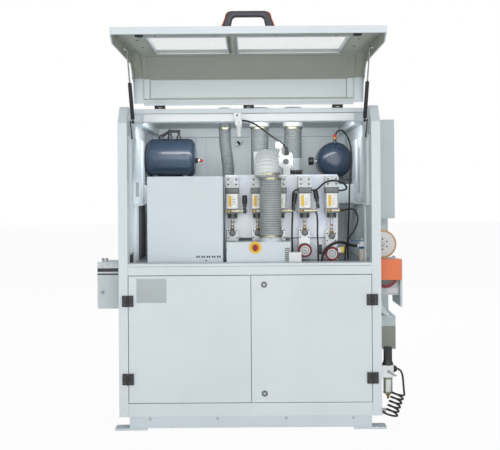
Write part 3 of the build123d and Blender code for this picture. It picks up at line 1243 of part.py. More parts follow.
with BuildPart() as air_regulator:
    unit_y = behind(REGULATOR_BACK)
    body_low, body_high = REGULATOR_BODY
    slab((HALF, REGULATOR_X + REGULATOR_SIZE / 2), about(unit_y, REGULATOR_SIZE), REGULATOR_BODY)
    bowl_radius, bowl_bottom = REGULATOR_BOWL
    bar((REGULATOR_X, unit_y, bowl_bottom), (0, 0, 1), bowl_radius, body_low - bowl_bottom)
    knob_radius, knob_top = REGULATOR_KNOB
    bar((REGULATOR_X, unit_y, body_high), (0, 0, 1), knob_radius, knob_top - body_high)
    port_radius, port_length, port_z = REGULATOR_PORT
    port_x = REGULATOR_X + REGULATOR_SIZE / 2
    bar((port_x, unit_y, port_z), (1, 0, 0), port_radius, port_length)
    socket_y = (behind(COIL_SOCKET_BACK), behind(COIL_SOCKET_BACK) + COIL_SOCKET[1])
    slab((HALF, HALF + COIL_SOCKET[0]), socket_y, about(COIL_SOCKET_Z, COIL_SOCKET[2]))


# Curly hose from the regulator's port to the socket low on the side frame, as a chain of tangent arcs
def coil_place(turns):
    """Point of the coil's helix and its direction there, after a number of turns."""
    top = Vector(COIL_TOP[0], behind(COIL_TOP[1]), COIL_TOP[2])
    foot = Vector(COIL_FOOT[0], behind(COIL_FOOT[1]), COIL_FOOT[2])
    axis = (foot - top).normalized()
    towards_front = Vector(0, -1, 0)
    outward = towards_front.cross(axis)
    angle = 2 * math.pi * turns
    centre = top + (foot - top) * (turns / COIL_TURNS)
    point = centre + (outward * math.cos(angle) + towards_front * math.sin(angle)) * COIL_RADIUS
    lead = (foot - top).length / COIL_TURNS / (2 * math.pi * COIL_RADIUS)
    direction = towards_front * math.cos(angle) - outward * math.sin(angle) + axis * lead
    return point, direction.normalized()


def biarc(start, start_direction, end, end_direction):
    """Two tangent arcs between two points with given directions."""
    chord = end - start
    both = start_direction + end_direction
    spread = 2 * (1 - start_direction.dot(end_direction))
    along = chord.dot(both)
    reach = (math.sqrt(along**2 + spread * chord.dot(chord)) - along) / spread
    joint = (start + end + (start_direction - end_direction) * reach) * 0.5
    joint_direction = (end - end_direction * reach) - (start + start_direction * reach)
    TangentArc(start, joint, tangent=start_direction)
    TangentArc(joint, end, tangent=joint_direction)


port_end = port_x + port_length
coil_places = [
    (Vector(port_end, unit_y, port_z), Vector(1, 0, 0)),
]
lead_directions = (Vector(0.1, -0.1, -1).normalized(), Vector(0, -0.1, -1).normalized())
for (lead_x, lead_back, lead_z), direction in zip(COIL_LEAD, lead_directions):
    coil_places.append((Vector(lead_x, behind(lead_back), lead_z), direction))
coil_places += [coil_place(quarter / 4) for quarter in range(round(4 * COIL_TURNS) + 1)]
socket_x = HALF + COIL_SOCKET[0] / 2
coil_places.append((Vector(socket_x, behind(COIL_SOCKET_BACK), COIL_SOCKET_Z), Vector(0, 1, 0)))

with BuildPart() as coil_hose:
    with BuildLine() as coil_route:
        for (start, start_direction), (end, end_direction) in zip(coil_places, coil_places[1:]):
            biarc(start, start_direction, end, end_direction)
    coil_path = coil_route.wires()[0]
    with BuildSketch(Plane(coil_path.position_at(0), z_dir=coil_path.tangent_at(0))):
        Circle(COIL_HOSE_RADIUS)
    sweep(path=coil_path)

COIL_SAMPLES = 500
samples = [coil_path.position_at(step / COIL_SAMPLES) for step in range(COIL_SAMPLES + 1)]
half_turn = round(math.pi * COIL_RADIUS / coil_path.length * COIL_SAMPLES)
gaps = [
    (samples[first] - samples[second]).length - 2 * COIL_HOSE_RADIUS
    for first in range(len(samples))
    for second in range(first + half_turn, len(samples))
]
print("coil hose length", round(coil_path.length), "least gap to itself", round(min(gaps), 1))


# Write every piece
pieces = {
    "base_frame": base_frame,
    "side_frame_left": side_frame_left,
    "side_frame_right": side_frame_right,
    "front_frame": front_frame,
    "back_panel": back_panel,
    "roof_panel": roof_panel,
    "hinge_plates": hinge_plates,
    "left_door": left_door,
    "right_door": right_door,
    "left_door_hinges": left_door_hinges,
    "right_door_hinges": right_door_hinges,
    "lower_lock": lower_lock,
    "upper_lock": upper_lock,
    "lid_skin": lid_skin,
    "lid_lining": lid_lining,
    "lid_windows": lid_windows,
    "lid_hinges": lid_hinges,
    "lid_handle": lid_handle,
    "strut_cylinder_left": strut_cylinder_left,
    "strut_cylinder_right": strut_cylinder_right,
    "strut_rod_left": strut_rod_left,
    "strut_rod_right": strut_rod_right,
    "saw_table": saw_table,
    "blade_hood": blade_hood,
    "switch_knob": switch_knob,
    "outfeed_cover": outfeed_cover,
    "mounting_plate": mounting_plate,
    "clamp_cylinders": clamp_cylinders,
    "air_tanks": air_tanks,
    "dust_hoses": dust_hoses,
    "dust_manifold": dust_manifold,
    "work_lamp": work_lamp,
    "air_valves": air_valves,
    "air_lines": air_lines,
    "valve_lever": valve_lever,
    "saw_arm": saw_arm,
    "motor_pulley": motor_pulley,
    "arbor": arbor,
    "drive_belt": drive_belt,
    "saw_blade": saw_blade,
    "arm_pedestal": arm_pedestal,
    "stroke_cylinder": stroke_cylinder,
    "stroke_rod": stroke_rod,
    "infeed_frame": infeed_frame,
    "measuring_wheel": measuring_wheel,
    "feed_wheel": feed_wheel,
    "feed_guard": feed_guard,
    "outfeed_table": outfeed_table,
    "air_regulator": air_regulator,
    "coil_hose": coil_hose,
}
for number, (slide, roller) in enumerate(zip(roller_slides, press_rollers), start=1):
    pieces[f"roller_slide_{number}"] = slide
    pieces[f"press_roller_{number}"] = roller

os.makedirs("parts", exist_ok=True)
for label, piece in pieces.items():
    piece.part.label = label
    export_step(piece.part, f"parts/{label}.step")
print(len(pieces), "pieces; strut length", round(STRUT_LENGTH, 1))
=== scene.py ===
import math

import bpy
import numpy as np
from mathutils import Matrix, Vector


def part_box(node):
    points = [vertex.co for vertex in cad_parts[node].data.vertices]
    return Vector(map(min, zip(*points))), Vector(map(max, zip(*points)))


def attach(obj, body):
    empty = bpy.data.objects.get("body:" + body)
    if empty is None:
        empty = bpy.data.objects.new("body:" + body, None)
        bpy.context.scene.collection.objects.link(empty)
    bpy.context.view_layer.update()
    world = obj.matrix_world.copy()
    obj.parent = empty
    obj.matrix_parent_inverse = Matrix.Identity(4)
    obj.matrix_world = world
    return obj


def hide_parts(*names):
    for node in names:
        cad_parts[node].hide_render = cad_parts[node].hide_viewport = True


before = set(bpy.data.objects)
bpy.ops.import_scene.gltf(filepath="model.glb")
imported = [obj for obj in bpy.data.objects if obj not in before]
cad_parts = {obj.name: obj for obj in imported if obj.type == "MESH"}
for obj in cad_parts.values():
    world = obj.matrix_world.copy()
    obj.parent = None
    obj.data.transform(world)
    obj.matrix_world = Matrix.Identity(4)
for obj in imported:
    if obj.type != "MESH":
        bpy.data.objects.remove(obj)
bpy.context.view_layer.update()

# Photograph's frame and the place it was taken from, in pixels and metres
FRAME_WIDTH = 500
SENSOR = 36.0
FOCAL_PIXELS = 861.0
HORIZON_RISE = 33.0
CENTRE_OFFSET = 0.7
CAMERA_PLACE = (0.0, -5.30, 1.285)
CAMERA_ROLL = math.radians(0.4)

MM = 0.001
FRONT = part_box("side_frame_left")[0].y

# Where finishes change their colour, and over what width, in metres
RULE_PITCH = 0.0108
RISER_FOOT = 1.043
WIRE_PITCH = 0.012875
ELBOW_FOOT = 1.366
ELBOW_BACK = -0.09
# Depth behind which the hoses, and the side left of which the hose, are painted in shade
REAR_HOSES = 0.02
LEFT_HOSE_SIDE = -0.10
HOSE_BLEND = 0.02
HOOD_HINGE_EDGE = 1.791
ROD_FOOT = 1.085
LOW_ROD_FOOT = 1.065
ROD_BANDS = ((0.0, 0.011), (0.022, 0.033))
SHARP_BLEND = 0.001

# Edges of the carried-over nodes and the pieces: widths in metres, and the angles that count as an edge
PANEL_EDGE = 0.002
DOOR_EDGE = 0.0018
TYRE_EDGE = 0.0015
THIN_EDGE = 0.0012
NODE_EDGE = 0.001
SLIDE_EDGE = 0.0008
SMOOTH_ANGLE = math.radians(32)
BEVEL_ANGLE = math.radians(40)
BEVEL_SEGMENTS = 2
FLAT_ANGLE = math.radians(0.5)
WELD_DISTANCE = 0.00002


class Value:
    """Shader value that takes part in Python expressions."""

    def __init__(self, finish, socket):
        self.finish = finish
        self.socket = socket

    def _math(self, operation, first, second):
        return self.finish.node("ShaderNodeMath", {"operation": operation}, {0: first, 1: second})

    def __add__(self, other):
        return self._math("ADD", self, other)

    __radd__ = __add__

    def __sub__(self, other):
        return self._math("SUBTRACT", self, other)

    def __rsub__(self, other):
        return self._math("SUBTRACT", other, self)

    def __mul__(self, other):
        return self._math("MULTIPLY", self, other)

    __rmul__ = __mul__

    def sine(self):
        """Sine of the value in radians."""
        return self._math("SINE", self, 0.0)

    def between(self, low, high):
        """0 below low, 1 above high, and a smooth step between them."""
        settings = {"interpolation_type": "SMOOTHSTEP"}
        return self.finish.node("ShaderNodeMapRange", settings, {0: self, 1: low, 2: high})


class Finish:
    """Material whose nodes are added by plain calls."""

    def __init__(self, name):
        self.material = bpy.data.materials.new(name)
        self.material.use_nodes = True
        self.tree = self.material.node_tree
        self.shader = self.tree.nodes["Principled BSDF"]

    def put(self, socket, value):
        """Links a value to a socket, or sets the socket's constant."""
        if isinstance(value, Value):
            self.tree.links.new(value.socket, socket)
        elif isinstance(value, (tuple, list)) and socket.type == "RGBA" and len(value) == 3:
            socket.default_value = (*value, 1.0)
        else:
            socket.default_value = value

    def node(self, kind, settings=None, inputs=None, output=0):
        """Adds a node: its settings first, then its sockets' values or links."""
        made = self.tree.nodes.new(kind)
        for key, value in (settings or {}).items():
            setattr(made, key, value)
        for key, value in (inputs or {}).items():
            self.put(made.inputs[key], value)
        return Value(self, made.outputs[output])

    def place(self, stretch=(1, 1, 1)):
        """Object coordinates, stretched along each axis."""
        coordinates = self.node("ShaderNodeTexCoord", output="Object")
        return self.node("ShaderNodeMapping", None, {"Vector": coordinates, "Scale": stretch})

    def noise(self, scale, detail=3.0, stretch=(1, 1, 1), rough=0.5):
        """Cloudy noise from 0 to 1 on the stretched object coordinates."""
        inputs = {"Vector": self.place(stretch), "Scale": scale, "Detail": detail, "Roughness": rough}
        return self.node("ShaderNodeTexNoise", None, inputs)

    def axis(self, name):
        """One coordinate of the object's own space, in metres."""
        return self.node("ShaderNodeSeparateXYZ", None, {0: self.place()}, output=name)

    def mix(self, factor, first, second):
        """Blend of two colours: the first at factor 0, the second at 1."""
        settings = {"data_type": "RGBA"}
        return self.node("ShaderNodeMix", settings, {0: factor, 6: first, 7: second}, output=2)

    def bump(self, height, strength, distance):
        """Fine relief that bends the shader's normal."""
        inputs = {"Height": height, "Strength": strength, "Distance": distance}
        self.put(self.shader.inputs["Normal"], self.node("ShaderNodeBump", None, inputs))

    def set(self, **sockets):
        """Sets or links the shader's sockets by their names and returns the material."""
        for name, value in sockets.items():
            self.put(self.shader.inputs[name.replace("_", " ")], value)
        return self.material


def linear(red, green, blue):
    """Linear colour of an sRGB colour written in 0 to 255."""
    shares = (channel / 255 for channel in (red, green, blue))
    return tuple(s / 12.92 if s <= 0.04045 else ((s + 0.055) / 1.055) ** 2.4 for s in shares)


def shade(colour, factor):
    """Colour made darker or lighter by a factor, up to white."""
    return tuple(min(1.0, channel * factor) for channel in colour)


def sheet_paint(name, colour, roughness=0.45):
    """Powder coat on sheet metal: faint clouding, orange peel and a little dust in its sheen."""
    f = Finish(name)
    cloud = f.noise(2.3, 4.0)
    speck = f.noise(900.0, 2.0)
    tone = f.mix(cloud.between(0.3, 0.7), shade(colour, 0.965), shade(colour, 1.025))
    tone = f.mix(speck.between(0.62, 0.8) * 0.12, tone, shade(colour, 0.75))
    f.bump(f.noise(420.0, 2.0), 0.06, 0.0012)
    return f.set(Base_Color=tone, Roughness=roughness + (f.noise(14.0) - 0.5) * 0.14)


def brushed_metal(name, colour, roughness=0.34, grain=(1, 60, 60), metallic=0.92):
    """Metal with fine lines along one axis."""
    f = Finish(name)
    lines = f.noise(22.0, 5.0, grain, 0.7)
    tone = f.mix(lines.between(0.3, 0.75), shade(colour, 0.78), shade(colour, 1.12))
    stain = f.noise(6.0, 4.0)
    f.bump(lines, 0.08, 0.0006)
    rough = roughness + (lines - 0.5) * 0.22 + (stain - 0.5) * 0.12
    return f.set(Base_Color=tone, Metallic=metallic, Roughness=rough)


def milled_plate(name, colour, reflection_tint):
    """Bright milled plate with upright grain and broad bluish clouds that are painted reflection."""
    f = Finish(name)
    grain = f.noise(22.0, 5.0, (60, 1, 2), 0.7)
    cloud = f.noise(5.0, 3.0, (1, 1, 0.5))
    # Broad bluish clouds: painted reflection
    tone = f.mix(cloud.between(0.46, 0.68), colour, reflection_tint)
    tone = f.mix(grain.between(0.4, 0.8) * 0.3, tone, shade(colour, 0.8))
    f.bump(grain, 0.05, 0.0005)
    return f.set(Base_Color=tone, Metallic=0.15, Roughness=0.5 + (grain - 0.5) * 0.2)


def turned_metal(name, colour, roughness=0.28, metallic=1.0):
    """Machined metal with a fine cloudy variation of its gloss."""
    f = Finish(name)
    cloud = f.noise(60.0, 4.0)
    tone = f.mix(cloud.between(0.35, 0.7), shade(colour, 0.85), shade(colour, 1.08))
    f.bump(f.noise(700.0, 2.0), 0.05, 0.0005)
    return f.set(Base_Color=tone, Metallic=metallic, Roughness=roughness + (cloud - 0.5) * 0.2)


def moulded_plastic(name, colour, roughness=0.5, texture=500.0):
    """Moulded plastic with a fine spark-eroded texture and a dusty bloom."""
    f = Finish(name)
    bloom = f.noise(9.0, 4.0)
    tone = f.mix(bloom.between(0.45, 0.8) * 0.35, colour, shade(colour, 1.25))
    f.bump(f.noise(texture, 3.0), 0.12, 0.0012)
    return f.set(Base_Color=tone, Roughness=roughness + (bloom - 0.5) * 0.16)


def soft_rubber(name, colour, roughness=0.72):
    """Dull rubber with a mottled, slightly worn surface."""
    f = Finish(name)
    wear = f.noise(45.0, 5.0)
    tone = f.mix(wear.between(0.5, 0.78) * 0.5, colour, shade(colour, 1.9))
    f.bump(f.noise(320.0, 4.0), 0.18, 0.0014)
    return f.set(Base_Color=tone, Roughness=roughness + (wear - 0.5) * 0.18)


def clear_sheet(name, colour, roughness=0.05):
    """Clear plastic pane with a faint tint and wiping marks in its gloss."""
    f = Finish(name)
    smear = f.noise(7.0, 3.0, (1, 6, 1))
    f.material.surface_render_method = "BLENDED"
    f.set(Base_Color=colour, Transmission_Weight=0.0, IOR=1.45, Alpha=0.16)
    return f.set(Roughness=roughness + smear.between(0.5, 0.9) * 0.12)


def ruled_plate(name, colour):
    """Etched metal plate with plain rules across it."""
    f = Finish(name)
    rules = (f.axis("Z") * (2 * math.pi / RULE_PITCH)).sine().between(0.35, 0.75)
    wear = f.noise(40.0, 4.0)
    tone = f.mix(rules * 0.55, colour, shade(colour, 0.72))
    f.bump(rules, 0.1, 0.0004)
    return f.set(Base_Color=tone, Metallic=0.08, Roughness=0.58 + (wear - 0.5) * 0.2)


def hose_wall(name, colour, pale, dark):
    """Wire-wound hose with rings by height: a pale elbow, and painted shade that greys the hoses behind and
    darkens the one at the left.
    """
    f = Finish(name)
    film = f.noise(16.0, 5.0)
    height, width, depth = f.axis("Z"), f.axis("X"), f.axis("Y")
    tone = f.mix(film.between(0.35, 0.75), shade(colour, 0.92), shade(colour, 1.12))
    elbow = height.between(ELBOW_FOOT, ELBOW_FOOT + HOSE_BLEND)
    elbow = elbow * (1.0 - depth.between(ELBOW_BACK, ELBOW_BACK + HOSE_BLEND))
    tone = f.mix(elbow, tone, pale)
    # Hoses deep in the cabinet: painted shade
    tone = f.mix(depth.between(REAR_HOSES, REAR_HOSES + 2 * HOSE_BLEND), tone, shade(colour, 0.6))
    # Hose at the left: painted shade
    tone = f.mix(width.between(LEFT_HOSE_SIDE, LEFT_HOSE_SIDE + HOSE_BLEND), dark, tone)
    rings = ((height - RISER_FOOT) * (2 * math.pi / WIRE_PITCH) + math.pi / 2).sine().between(0.2, 0.95)
    tone = f.mix(rings * (1.0 - elbow * 0.8) * 0.55, tone, shade(dark, 0.62))
    f.bump(f.noise(260.0, 3.0), 0.1, 0.001)
    return f.set(Base_Color=tone, Roughness=0.38 + (film - 0.5) * 0.25)


def banded_rod(name, steel, brass, foot):
    """Bright slide whose rod carries two brass-coloured bands above a height."""
    f = Finish(name)
    grain = f.noise(40.0, 4.0)
    rise = f.axis("Z") - foot
    low, high = (
        rise.between(start, start + SHARP_BLEND) * (1.0 - rise.between(end, end + SHARP_BLEND))
        for start, end in ROD_BANDS
    )
    tone = f.mix(low + high, f.mix(grain.between(0.3, 0.7), steel, shade(steel, 1.06)), brass)
    return f.set(Base_Color=tone, Metallic=0.45, Roughness=0.4 + (grain - 0.5) * 0.2)


def hinge_leaf(name, dark, paint, level):
    """Hinge that is dark up to a height and painted over above it."""
    f = Finish(name)
    wear = f.noise(30.0, 4.0)
    tone = f.mix(f.axis("Z").between(level - SHARP_BLEND, level + SHARP_BLEND), dark, paint)
    return f.set(Base_Color=tone, Roughness=0.45 + (wear - 0.5) * 0.2)


CABINET_COLOUR = (212, 220, 224)
# Plain finishes by their maker: material name, sRGB colour, and what differs from the maker's defaults
FINISHES = {
    sheet_paint: {
        "cabinet": ("cabinet_paint", CABINET_COLOUR),
        "lining": ("lining_paint", (205, 213, 216), 0.5),
        "interior": ("interior_paint", (208, 218, 223), 0.42),
        "base": ("base_paint", (203, 212, 217), 0.5),
        # Hood lining: a darker olive grey that is painted shade on the hood's underside
        "hood_lining": ("hood_lining_paint", (166, 170, 160), 0.5),
        # Darker olive grey: painted shade on the hood's slope, and the colour of the sill's seam
        "mat": ("damping_mat", (150, 154, 145), 0.7),
        # Greyer paint of the dust manifold: painted shade behind the hose elbow
        "foot": ("foot_paint", (150, 158, 160), 0.55),
        # Olive grey of the side cabinet's band: painted shade on the panel's lower part
        "olive": ("olive_panel_paint", (138, 141, 133), 0.5),
        "panel": ("side_panel_paint", (196, 205, 207), 0.5),
        "orange": ("guard_paint", (226, 112, 58), 0.4),
        "tank": ("tank_paint", (46, 60, 77), 0.24),
        "iron": ("casting_paint", (92, 100, 106), 0.55),
    },
    brushed_metal: {
        "steel": ("brushed_steel", (182, 186, 186), 0.46, (1, 60, 60), 0.5),
        "table": ("table_plate", (170, 175, 178), 0.4, (2, 60, 60)),
    },
    turned_metal: {
        "steel_dark": ("dark_screw", (72, 74, 76), 0.4, 0.8),
        "rod": ("bright_rod", (150, 152, 150), 0.22),
        "alu": ("cylinder_body", (206, 211, 212), 0.55, 0.2),
        "barrel": ("barrel_sleeve", (222, 223, 219), 0.42, 0.15),
        "nose": ("cylinder_nose", (74, 76, 74), 0.4, 0.2),
        "cap_grey": ("cast_cap", (96, 99, 99), 0.42, 0.6),
        "pale_metal": ("pale_fitting", (214, 208, 186), 0.34, 0.6),
        "clamp": ("clamp_band", (150, 150, 132), 0.3, 0.7),
        "brass": ("brass_fitting", (168, 132, 66), 0.46, 0.7),
        "blade": ("saw_steel", (176, 178, 180), 0.3),
    },
    ruled_plate: {"ruled": ("ruled_plate", (178, 186, 188))},
    moulded_plastic: {
        "tan": ("tan_sleeve", (196, 188, 176), 0.5),
        "black": ("black_plastic", (28, 28, 31)),
        "anthracite": ("anthracite_plastic", (52, 53, 58), 0.48),
        "grey": ("grey_plastic", (150, 156, 160)),
        "lamp_white": ("lamp_white", (240, 243, 244), 0.4, 700.0),
        "white": ("white_plastic", (220, 223, 222), 0.45, 700.0),
        "red": ("red_plastic", (176, 32, 24), 0.4),
        "yellow": ("yellow_plastic", (232, 188, 38), 0.45),
        "orange_cap": ("orange_plastic", (226, 96, 34), 0.45),
        "blue": ("blue_plastic", (34, 78, 142), 0.42),
        "guard": ("bowl_guard", (124, 134, 112), 0.4),
    },
    soft_rubber: {
        "cable": ("cable_rubber", (22, 22, 24), 0.6),
        "seal": ("seal_rubber", (30, 30, 32)),
        "flap": ("rubber_flap", (78, 82, 84), 0.7),
        "rim": ("tan_rim", (198, 158, 106), 0.6),
        "tyre": ("roller_tyre", (132, 52, 58)),
        "belt": ("belt_rubber", (26, 26, 27)),
    },
    clear_sheet: {"pane": ("window_pane", (236, 242, 244))},
}
PAINT = {
    key: maker(name, linear(*colour), *rest)
    for maker, rows in FINISHES.items() for key, (name, colour, *rest) in rows.items()
}
SLIDE_COLOURS = (linear(196, 201, 203), linear(150, 122, 74))
PAINT |= {
    # Mounting plate: the bluish second colour is painted reflection
    "plate": milled_plate("milled_plate", linear(236, 240, 247), linear(200, 214, 240)),
    # Hose colours: the body, the pale elbow, and a darker grey that is painted shade on the left hose and the
    # colour of the wire rings
    "hose": hose_wall("hose_wall", linear(160, 167, 168), linear(224, 229, 229), linear(118, 124, 126)),
    "slide": banded_rod("slide_metal", *SLIDE_COLOURS, ROD_FOOT),
    "low_slide": banded_rod("low_slide_metal", *SLIDE_COLOURS, LOW_ROD_FOOT),
    "hinge": hinge_leaf("hood_hinge", linear(34, 35, 38), linear(*CABINET_COLOUR), HOOD_HINGE_EDGE),
}


def grid_faces(rows, columns):
    """Quads between the rows of a point grid whose columns join up again."""
    row, column = np.meshgrid(np.arange(rows - 1), np.arange(columns), indexing="ij")
    after = (column + 1) % columns
    first = row * columns
    quads = np.stack([first + column, first + after, first + columns + after, first + columns + column], -1)
    return quads.reshape(-1, 4).tolist()


def closed_surface(points):
    """Rings of points as a closed skin, with a flat face over the first and the last ring."""
    rows, columns = points.shape[:2]
    faces = grid_faces(rows, columns)
    faces.append(list(range(columns))[::-1])
    faces.append(list(range((rows - 1) * columns, rows * columns)))
    return points.reshape(-1, 3), faces


def cross_axes(axis):
    """Two unit vectors square to an axis and to each other, right-handed with it."""
    axis = np.asarray(axis, float)
    helper = np.array([0.0, 0.0, 1.0]) if abs(axis[2]) < 0.9 else np.array([1.0, 0.0, 0.0])
    first = np.cross(helper, axis)
    first /= np.linalg.norm(first)
    return first, np.cross(axis, first)


def lathe(centre, axis, profile, sides):
    """Rings of points: each profile pair is a radius and a height along the axis, carried round a circle."""
    axis = np.asarray(axis, float) / np.linalg.norm(axis)
    first, second = cross_axes(axis)
    radius, height = profile.T[:, :, None, None]
    angle = np.linspace(0, 2 * np.pi, sides, endpoint=False)
    ring = np.cos(angle)[:, None] * first + np.sin(angle)[:, None] * second
    return np.asarray(centre, float) + radius * ring + height * axis


def joined_rings(points):
    """Rings of points as a closed skin whose last ring joins the first again, such as a tube with a wall."""
    rows, columns = points.shape[:2]
    faces = np.array(grid_faces(rows + 1, columns)) % (rows * columns)
    return points.reshape(-1, 3), faces.tolist()


def rounded_box(low, high, radius, steps=3):
    """Box with rounded edges: a ball's octants pushed apart to the box's corners."""
    low, high = np.asarray(low, float), np.asarray(high, float)
    radius = min(radius, 0.49 * float((high - low).min()))
    inner = (high - low) / 2 - radius
    quarter = np.linspace(0, np.pi / 2, steps + 1)
    around = np.concatenate([quarter + turn * np.pi / 2 for turn in range(4)])
    side_x = np.repeat([1, -1, -1, 1], steps + 1)
    side_y = np.repeat([1, 1, -1, -1], steps + 1)
    rise = np.concatenate([quarter - np.pi / 2, quarter])
    side_z = np.repeat([-1, 1], steps + 1)
    x = np.cos(rise)[:, None] * np.cos(around) * radius + side_x * inner[0]
    y = np.cos(rise)[:, None] * np.sin(around) * radius + side_y * inner[1]
    z = (np.sin(rise) * radius + side_z * inner[2])[:, None] * np.ones_like(around)
    points = np.stack([x, y, z], -1) + (low + high) / 2
    return closed_surface(points)


def prism(outline, axis, low, high):
    """Flat outline carried straight along one of the three axes, 0, 1 or 2."""
    outline = np.asarray(outline, float)
    rings = [np.insert(outline, axis, level, axis=1) for level in (low, high)]
    vertices, faces = closed_surface(np.stack(rings))
    spread = np.roll(outline, -1, 0)
    area = float((outline[:, 0] * spread[:, 1] - outline[:, 1] * spread[:, 0]).sum())
    if (area > 0) == (axis == 1):
        faces = [face[::-1] for face in faces]
    return vertices, faces


def behind(distance):
    """Y of a place that lies this many millimetres behind the cabinet's front."""
    return FRONT + distance * MM


def place(x, depth, z):
    """Point in metres, from millimetres with the depth counted from the cabinet's front."""
    return (x * MM, behind(depth), z * MM)


def block(x, depth, z, radius=1.5):
    """Rounded box between two values on each axis, in millimetres behind the cabinet's front."""
    return rounded_box(place(x[0], depth[0], z[0]), place(x[1], depth[1], z[1]), radius * MM)


def spun(x, depth, z, axis, profile, sides=40):
    """Turned shape at a place, its profile given in millimetres."""
    return closed_surface(lathe(place(x, depth, z), axis, np.array(profile, float) * MM, sides))


def hollow(x, depth, z, axis, profile, bore, sides=48):
    """Turned shape at a place, closed along the wall of its round bore, in millimetres."""
    rows = np.array([(bore, profile[0][1]), *profile, (bore, profile[-1][1])], float)
    return joined_rings(lathe(place(x, depth, z), axis, rows * MM, sides))


def band(x, depth, z, axis, inner, outer, length, sides=48):
    """Ring of rectangular section at a place, in millimetres."""
    return hollow(x, depth, z, axis, [(outer, 0), (outer, length)], inner, sides)


def screw(x, depth, z, axis, radius, height):
    """Domed screw head with a drive recess: a quarter of an ellipse, a flat and a sunk floor."""
    rise = np.linspace(0, np.pi / 2, 5)
    dome = np.column_stack([radius * (0.55 + 0.45 * np.cos(rise)), height * np.sin(rise)])
    recess = [(radius * 0.42, height), (radius * 0.36, height * 0.4)]
    profile = np.vstack([[(radius, -1.0)], dome, recess])
    return spun(x, depth, z, axis, profile, 18)


def piece(name, parts, finish, body="cabinet", bevel=0.0, replaced=()):
    """Object made of one or more closed parts, which rides on a body."""
    vertices, faces, start = [], [], 0
    for part_vertices, part_faces in parts:
        vertices.append(part_vertices)
        faces += [[index + start for index in face] for face in part_faces]
        start += len(part_vertices)
    mesh = bpy.data.meshes.new(name)
    mesh.from_pydata(np.concatenate(vertices).tolist(), [], faces)
    mesh.update()
    mesh.shade_smooth()
    mesh.set_sharp_from_angle(angle=SMOOTH_ANGLE)
    mesh.materials.append(PAINT[finish])
    made = bpy.data.objects.new(name, mesh)
    bpy.context.scene.collection.objects.link(made)
    if bevel:
        add_bevel(made, bevel)
    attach(made, body)
    if replaced:
        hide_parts(*replaced)


def add_bevel(made, width):
    """Rounds the edges that are sharper than the bevel angle."""
    bevel = made.modifiers.new("edges", "BEVEL")
    bevel.width = width
    bevel.segments = BEVEL_SEGMENTS
    bevel.limit_method = "ANGLE"
    bevel.angle_limit = BEVEL_ANGLE
    bevel.harden_normals = True


def dress(node, finish, bevel):
    """Gives a carried-over node its finish, joins its triangles and breaks its sharp edges."""
    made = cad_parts[node]
    made.data.materials.clear()
    made.data.materials.append(PAINT[finish])
    if bevel:
        weld = made.modifiers.new("weld", "WELD")
        weld.merge_threshold = WELD_DISTANCE
        planes = made.modifiers.new("planes", "DECIMATE")
        planes.decimate_type = "DISSOLVE"
        planes.angle_limit = FLAT_ANGLE
        add_bevel(made, bevel)


# Carried-over nodes: each finish with its nodes, then those with edges of their own
UNBEVELLED = ("lid_windows", "dust_hoses", "saw_blade")
DRESSING = {
    "base": "base_frame",
    "black": "hinge_plates left_door_hinges right_door_hinges strut_cylinder_left strut_cylinder_right",
    "steel": "lower_lock upper_lock motor_pulley arbor",
    # lid_lining takes the hood lining's olive grey, which is painted shade
    "hood_lining": "lid_lining", "pane": "lid_windows", "hinge": "lid_hinges",
    "rod": "strut_rod_left strut_rod_right stroke_rod",
    "table": "saw_table", "interior": "blade_hood outfeed_cover", "red": "switch_knob",
    "plate": "mounting_plate", "alu": "clamp_cylinders stroke_cylinder", "tank": "air_tanks",
    # dust_manifold takes the greyer paint, which is painted shade behind the elbow
    "hose": "dust_hoses", "foot": "dust_manifold",
    "white": "work_lamp air_valves measuring_wheel air_regulator", "blue": "valve_lever",
    "iron": "saw_arm arm_pedestal", "belt": "drive_belt", "blade": "saw_blade",
    "panel": "infeed_frame outfeed_table", "tyre": "feed_wheel", "orange": "feed_guard",
    "anthracite": "lid_handle",
}
for finish, nodes in DRESSING.items():
    for node in nodes.split():
        dress(node, finish, 0.0 if node in UNBEVELLED else NODE_EDGE)
for node in ("side_frame_left", "side_frame_right", "front_frame", "back_panel", "roof_panel"):
    dress(node, "cabinet", PANEL_EDGE)
for node in ("left_door", "right_door", "lid_skin"):
    dress(node, "cabinet", DOOR_EDGE)
for number in range(1, 6):
    dress(f"roller_slide_{number}", "low_slide" if number == 5 else "slide", SLIDE_EDGE)
    dress(f"press_roller_{number}", "tyre", TYRE_EDGE)


def route(*points):
    """Route points in metres, from millimetres with the depth counted from the cabinet's front."""
    return [place(*point) for point in points]


def hose(name, node, diameter, points):
    """Round hose or cable on one smooth spline, whose control points are its route."""
    curve = bpy.data.curves.new(name, "CURVE")
    curve.dimensions = "3D"
    curve.bevel_depth = diameter / 2
    curve.bevel_resolution = 5
    curve.resolution_u = 10
    curve.use_fill_caps = True
    spline = curve.splines.new("NURBS")
    spline.points.add(len(points) - 1)
    spline.points.foreach_set("co", np.column_stack([points, np.ones(len(points))]).ravel())
    spline.order_u = 3
    spline.use_endpoint_u = True
    curve.materials.append(PAINT["cable"])
    made = bpy.data.objects.new(name, curve)
    bpy.context.scene.collection.objects.link(made)
    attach(made, "cabinet")
    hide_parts(node)


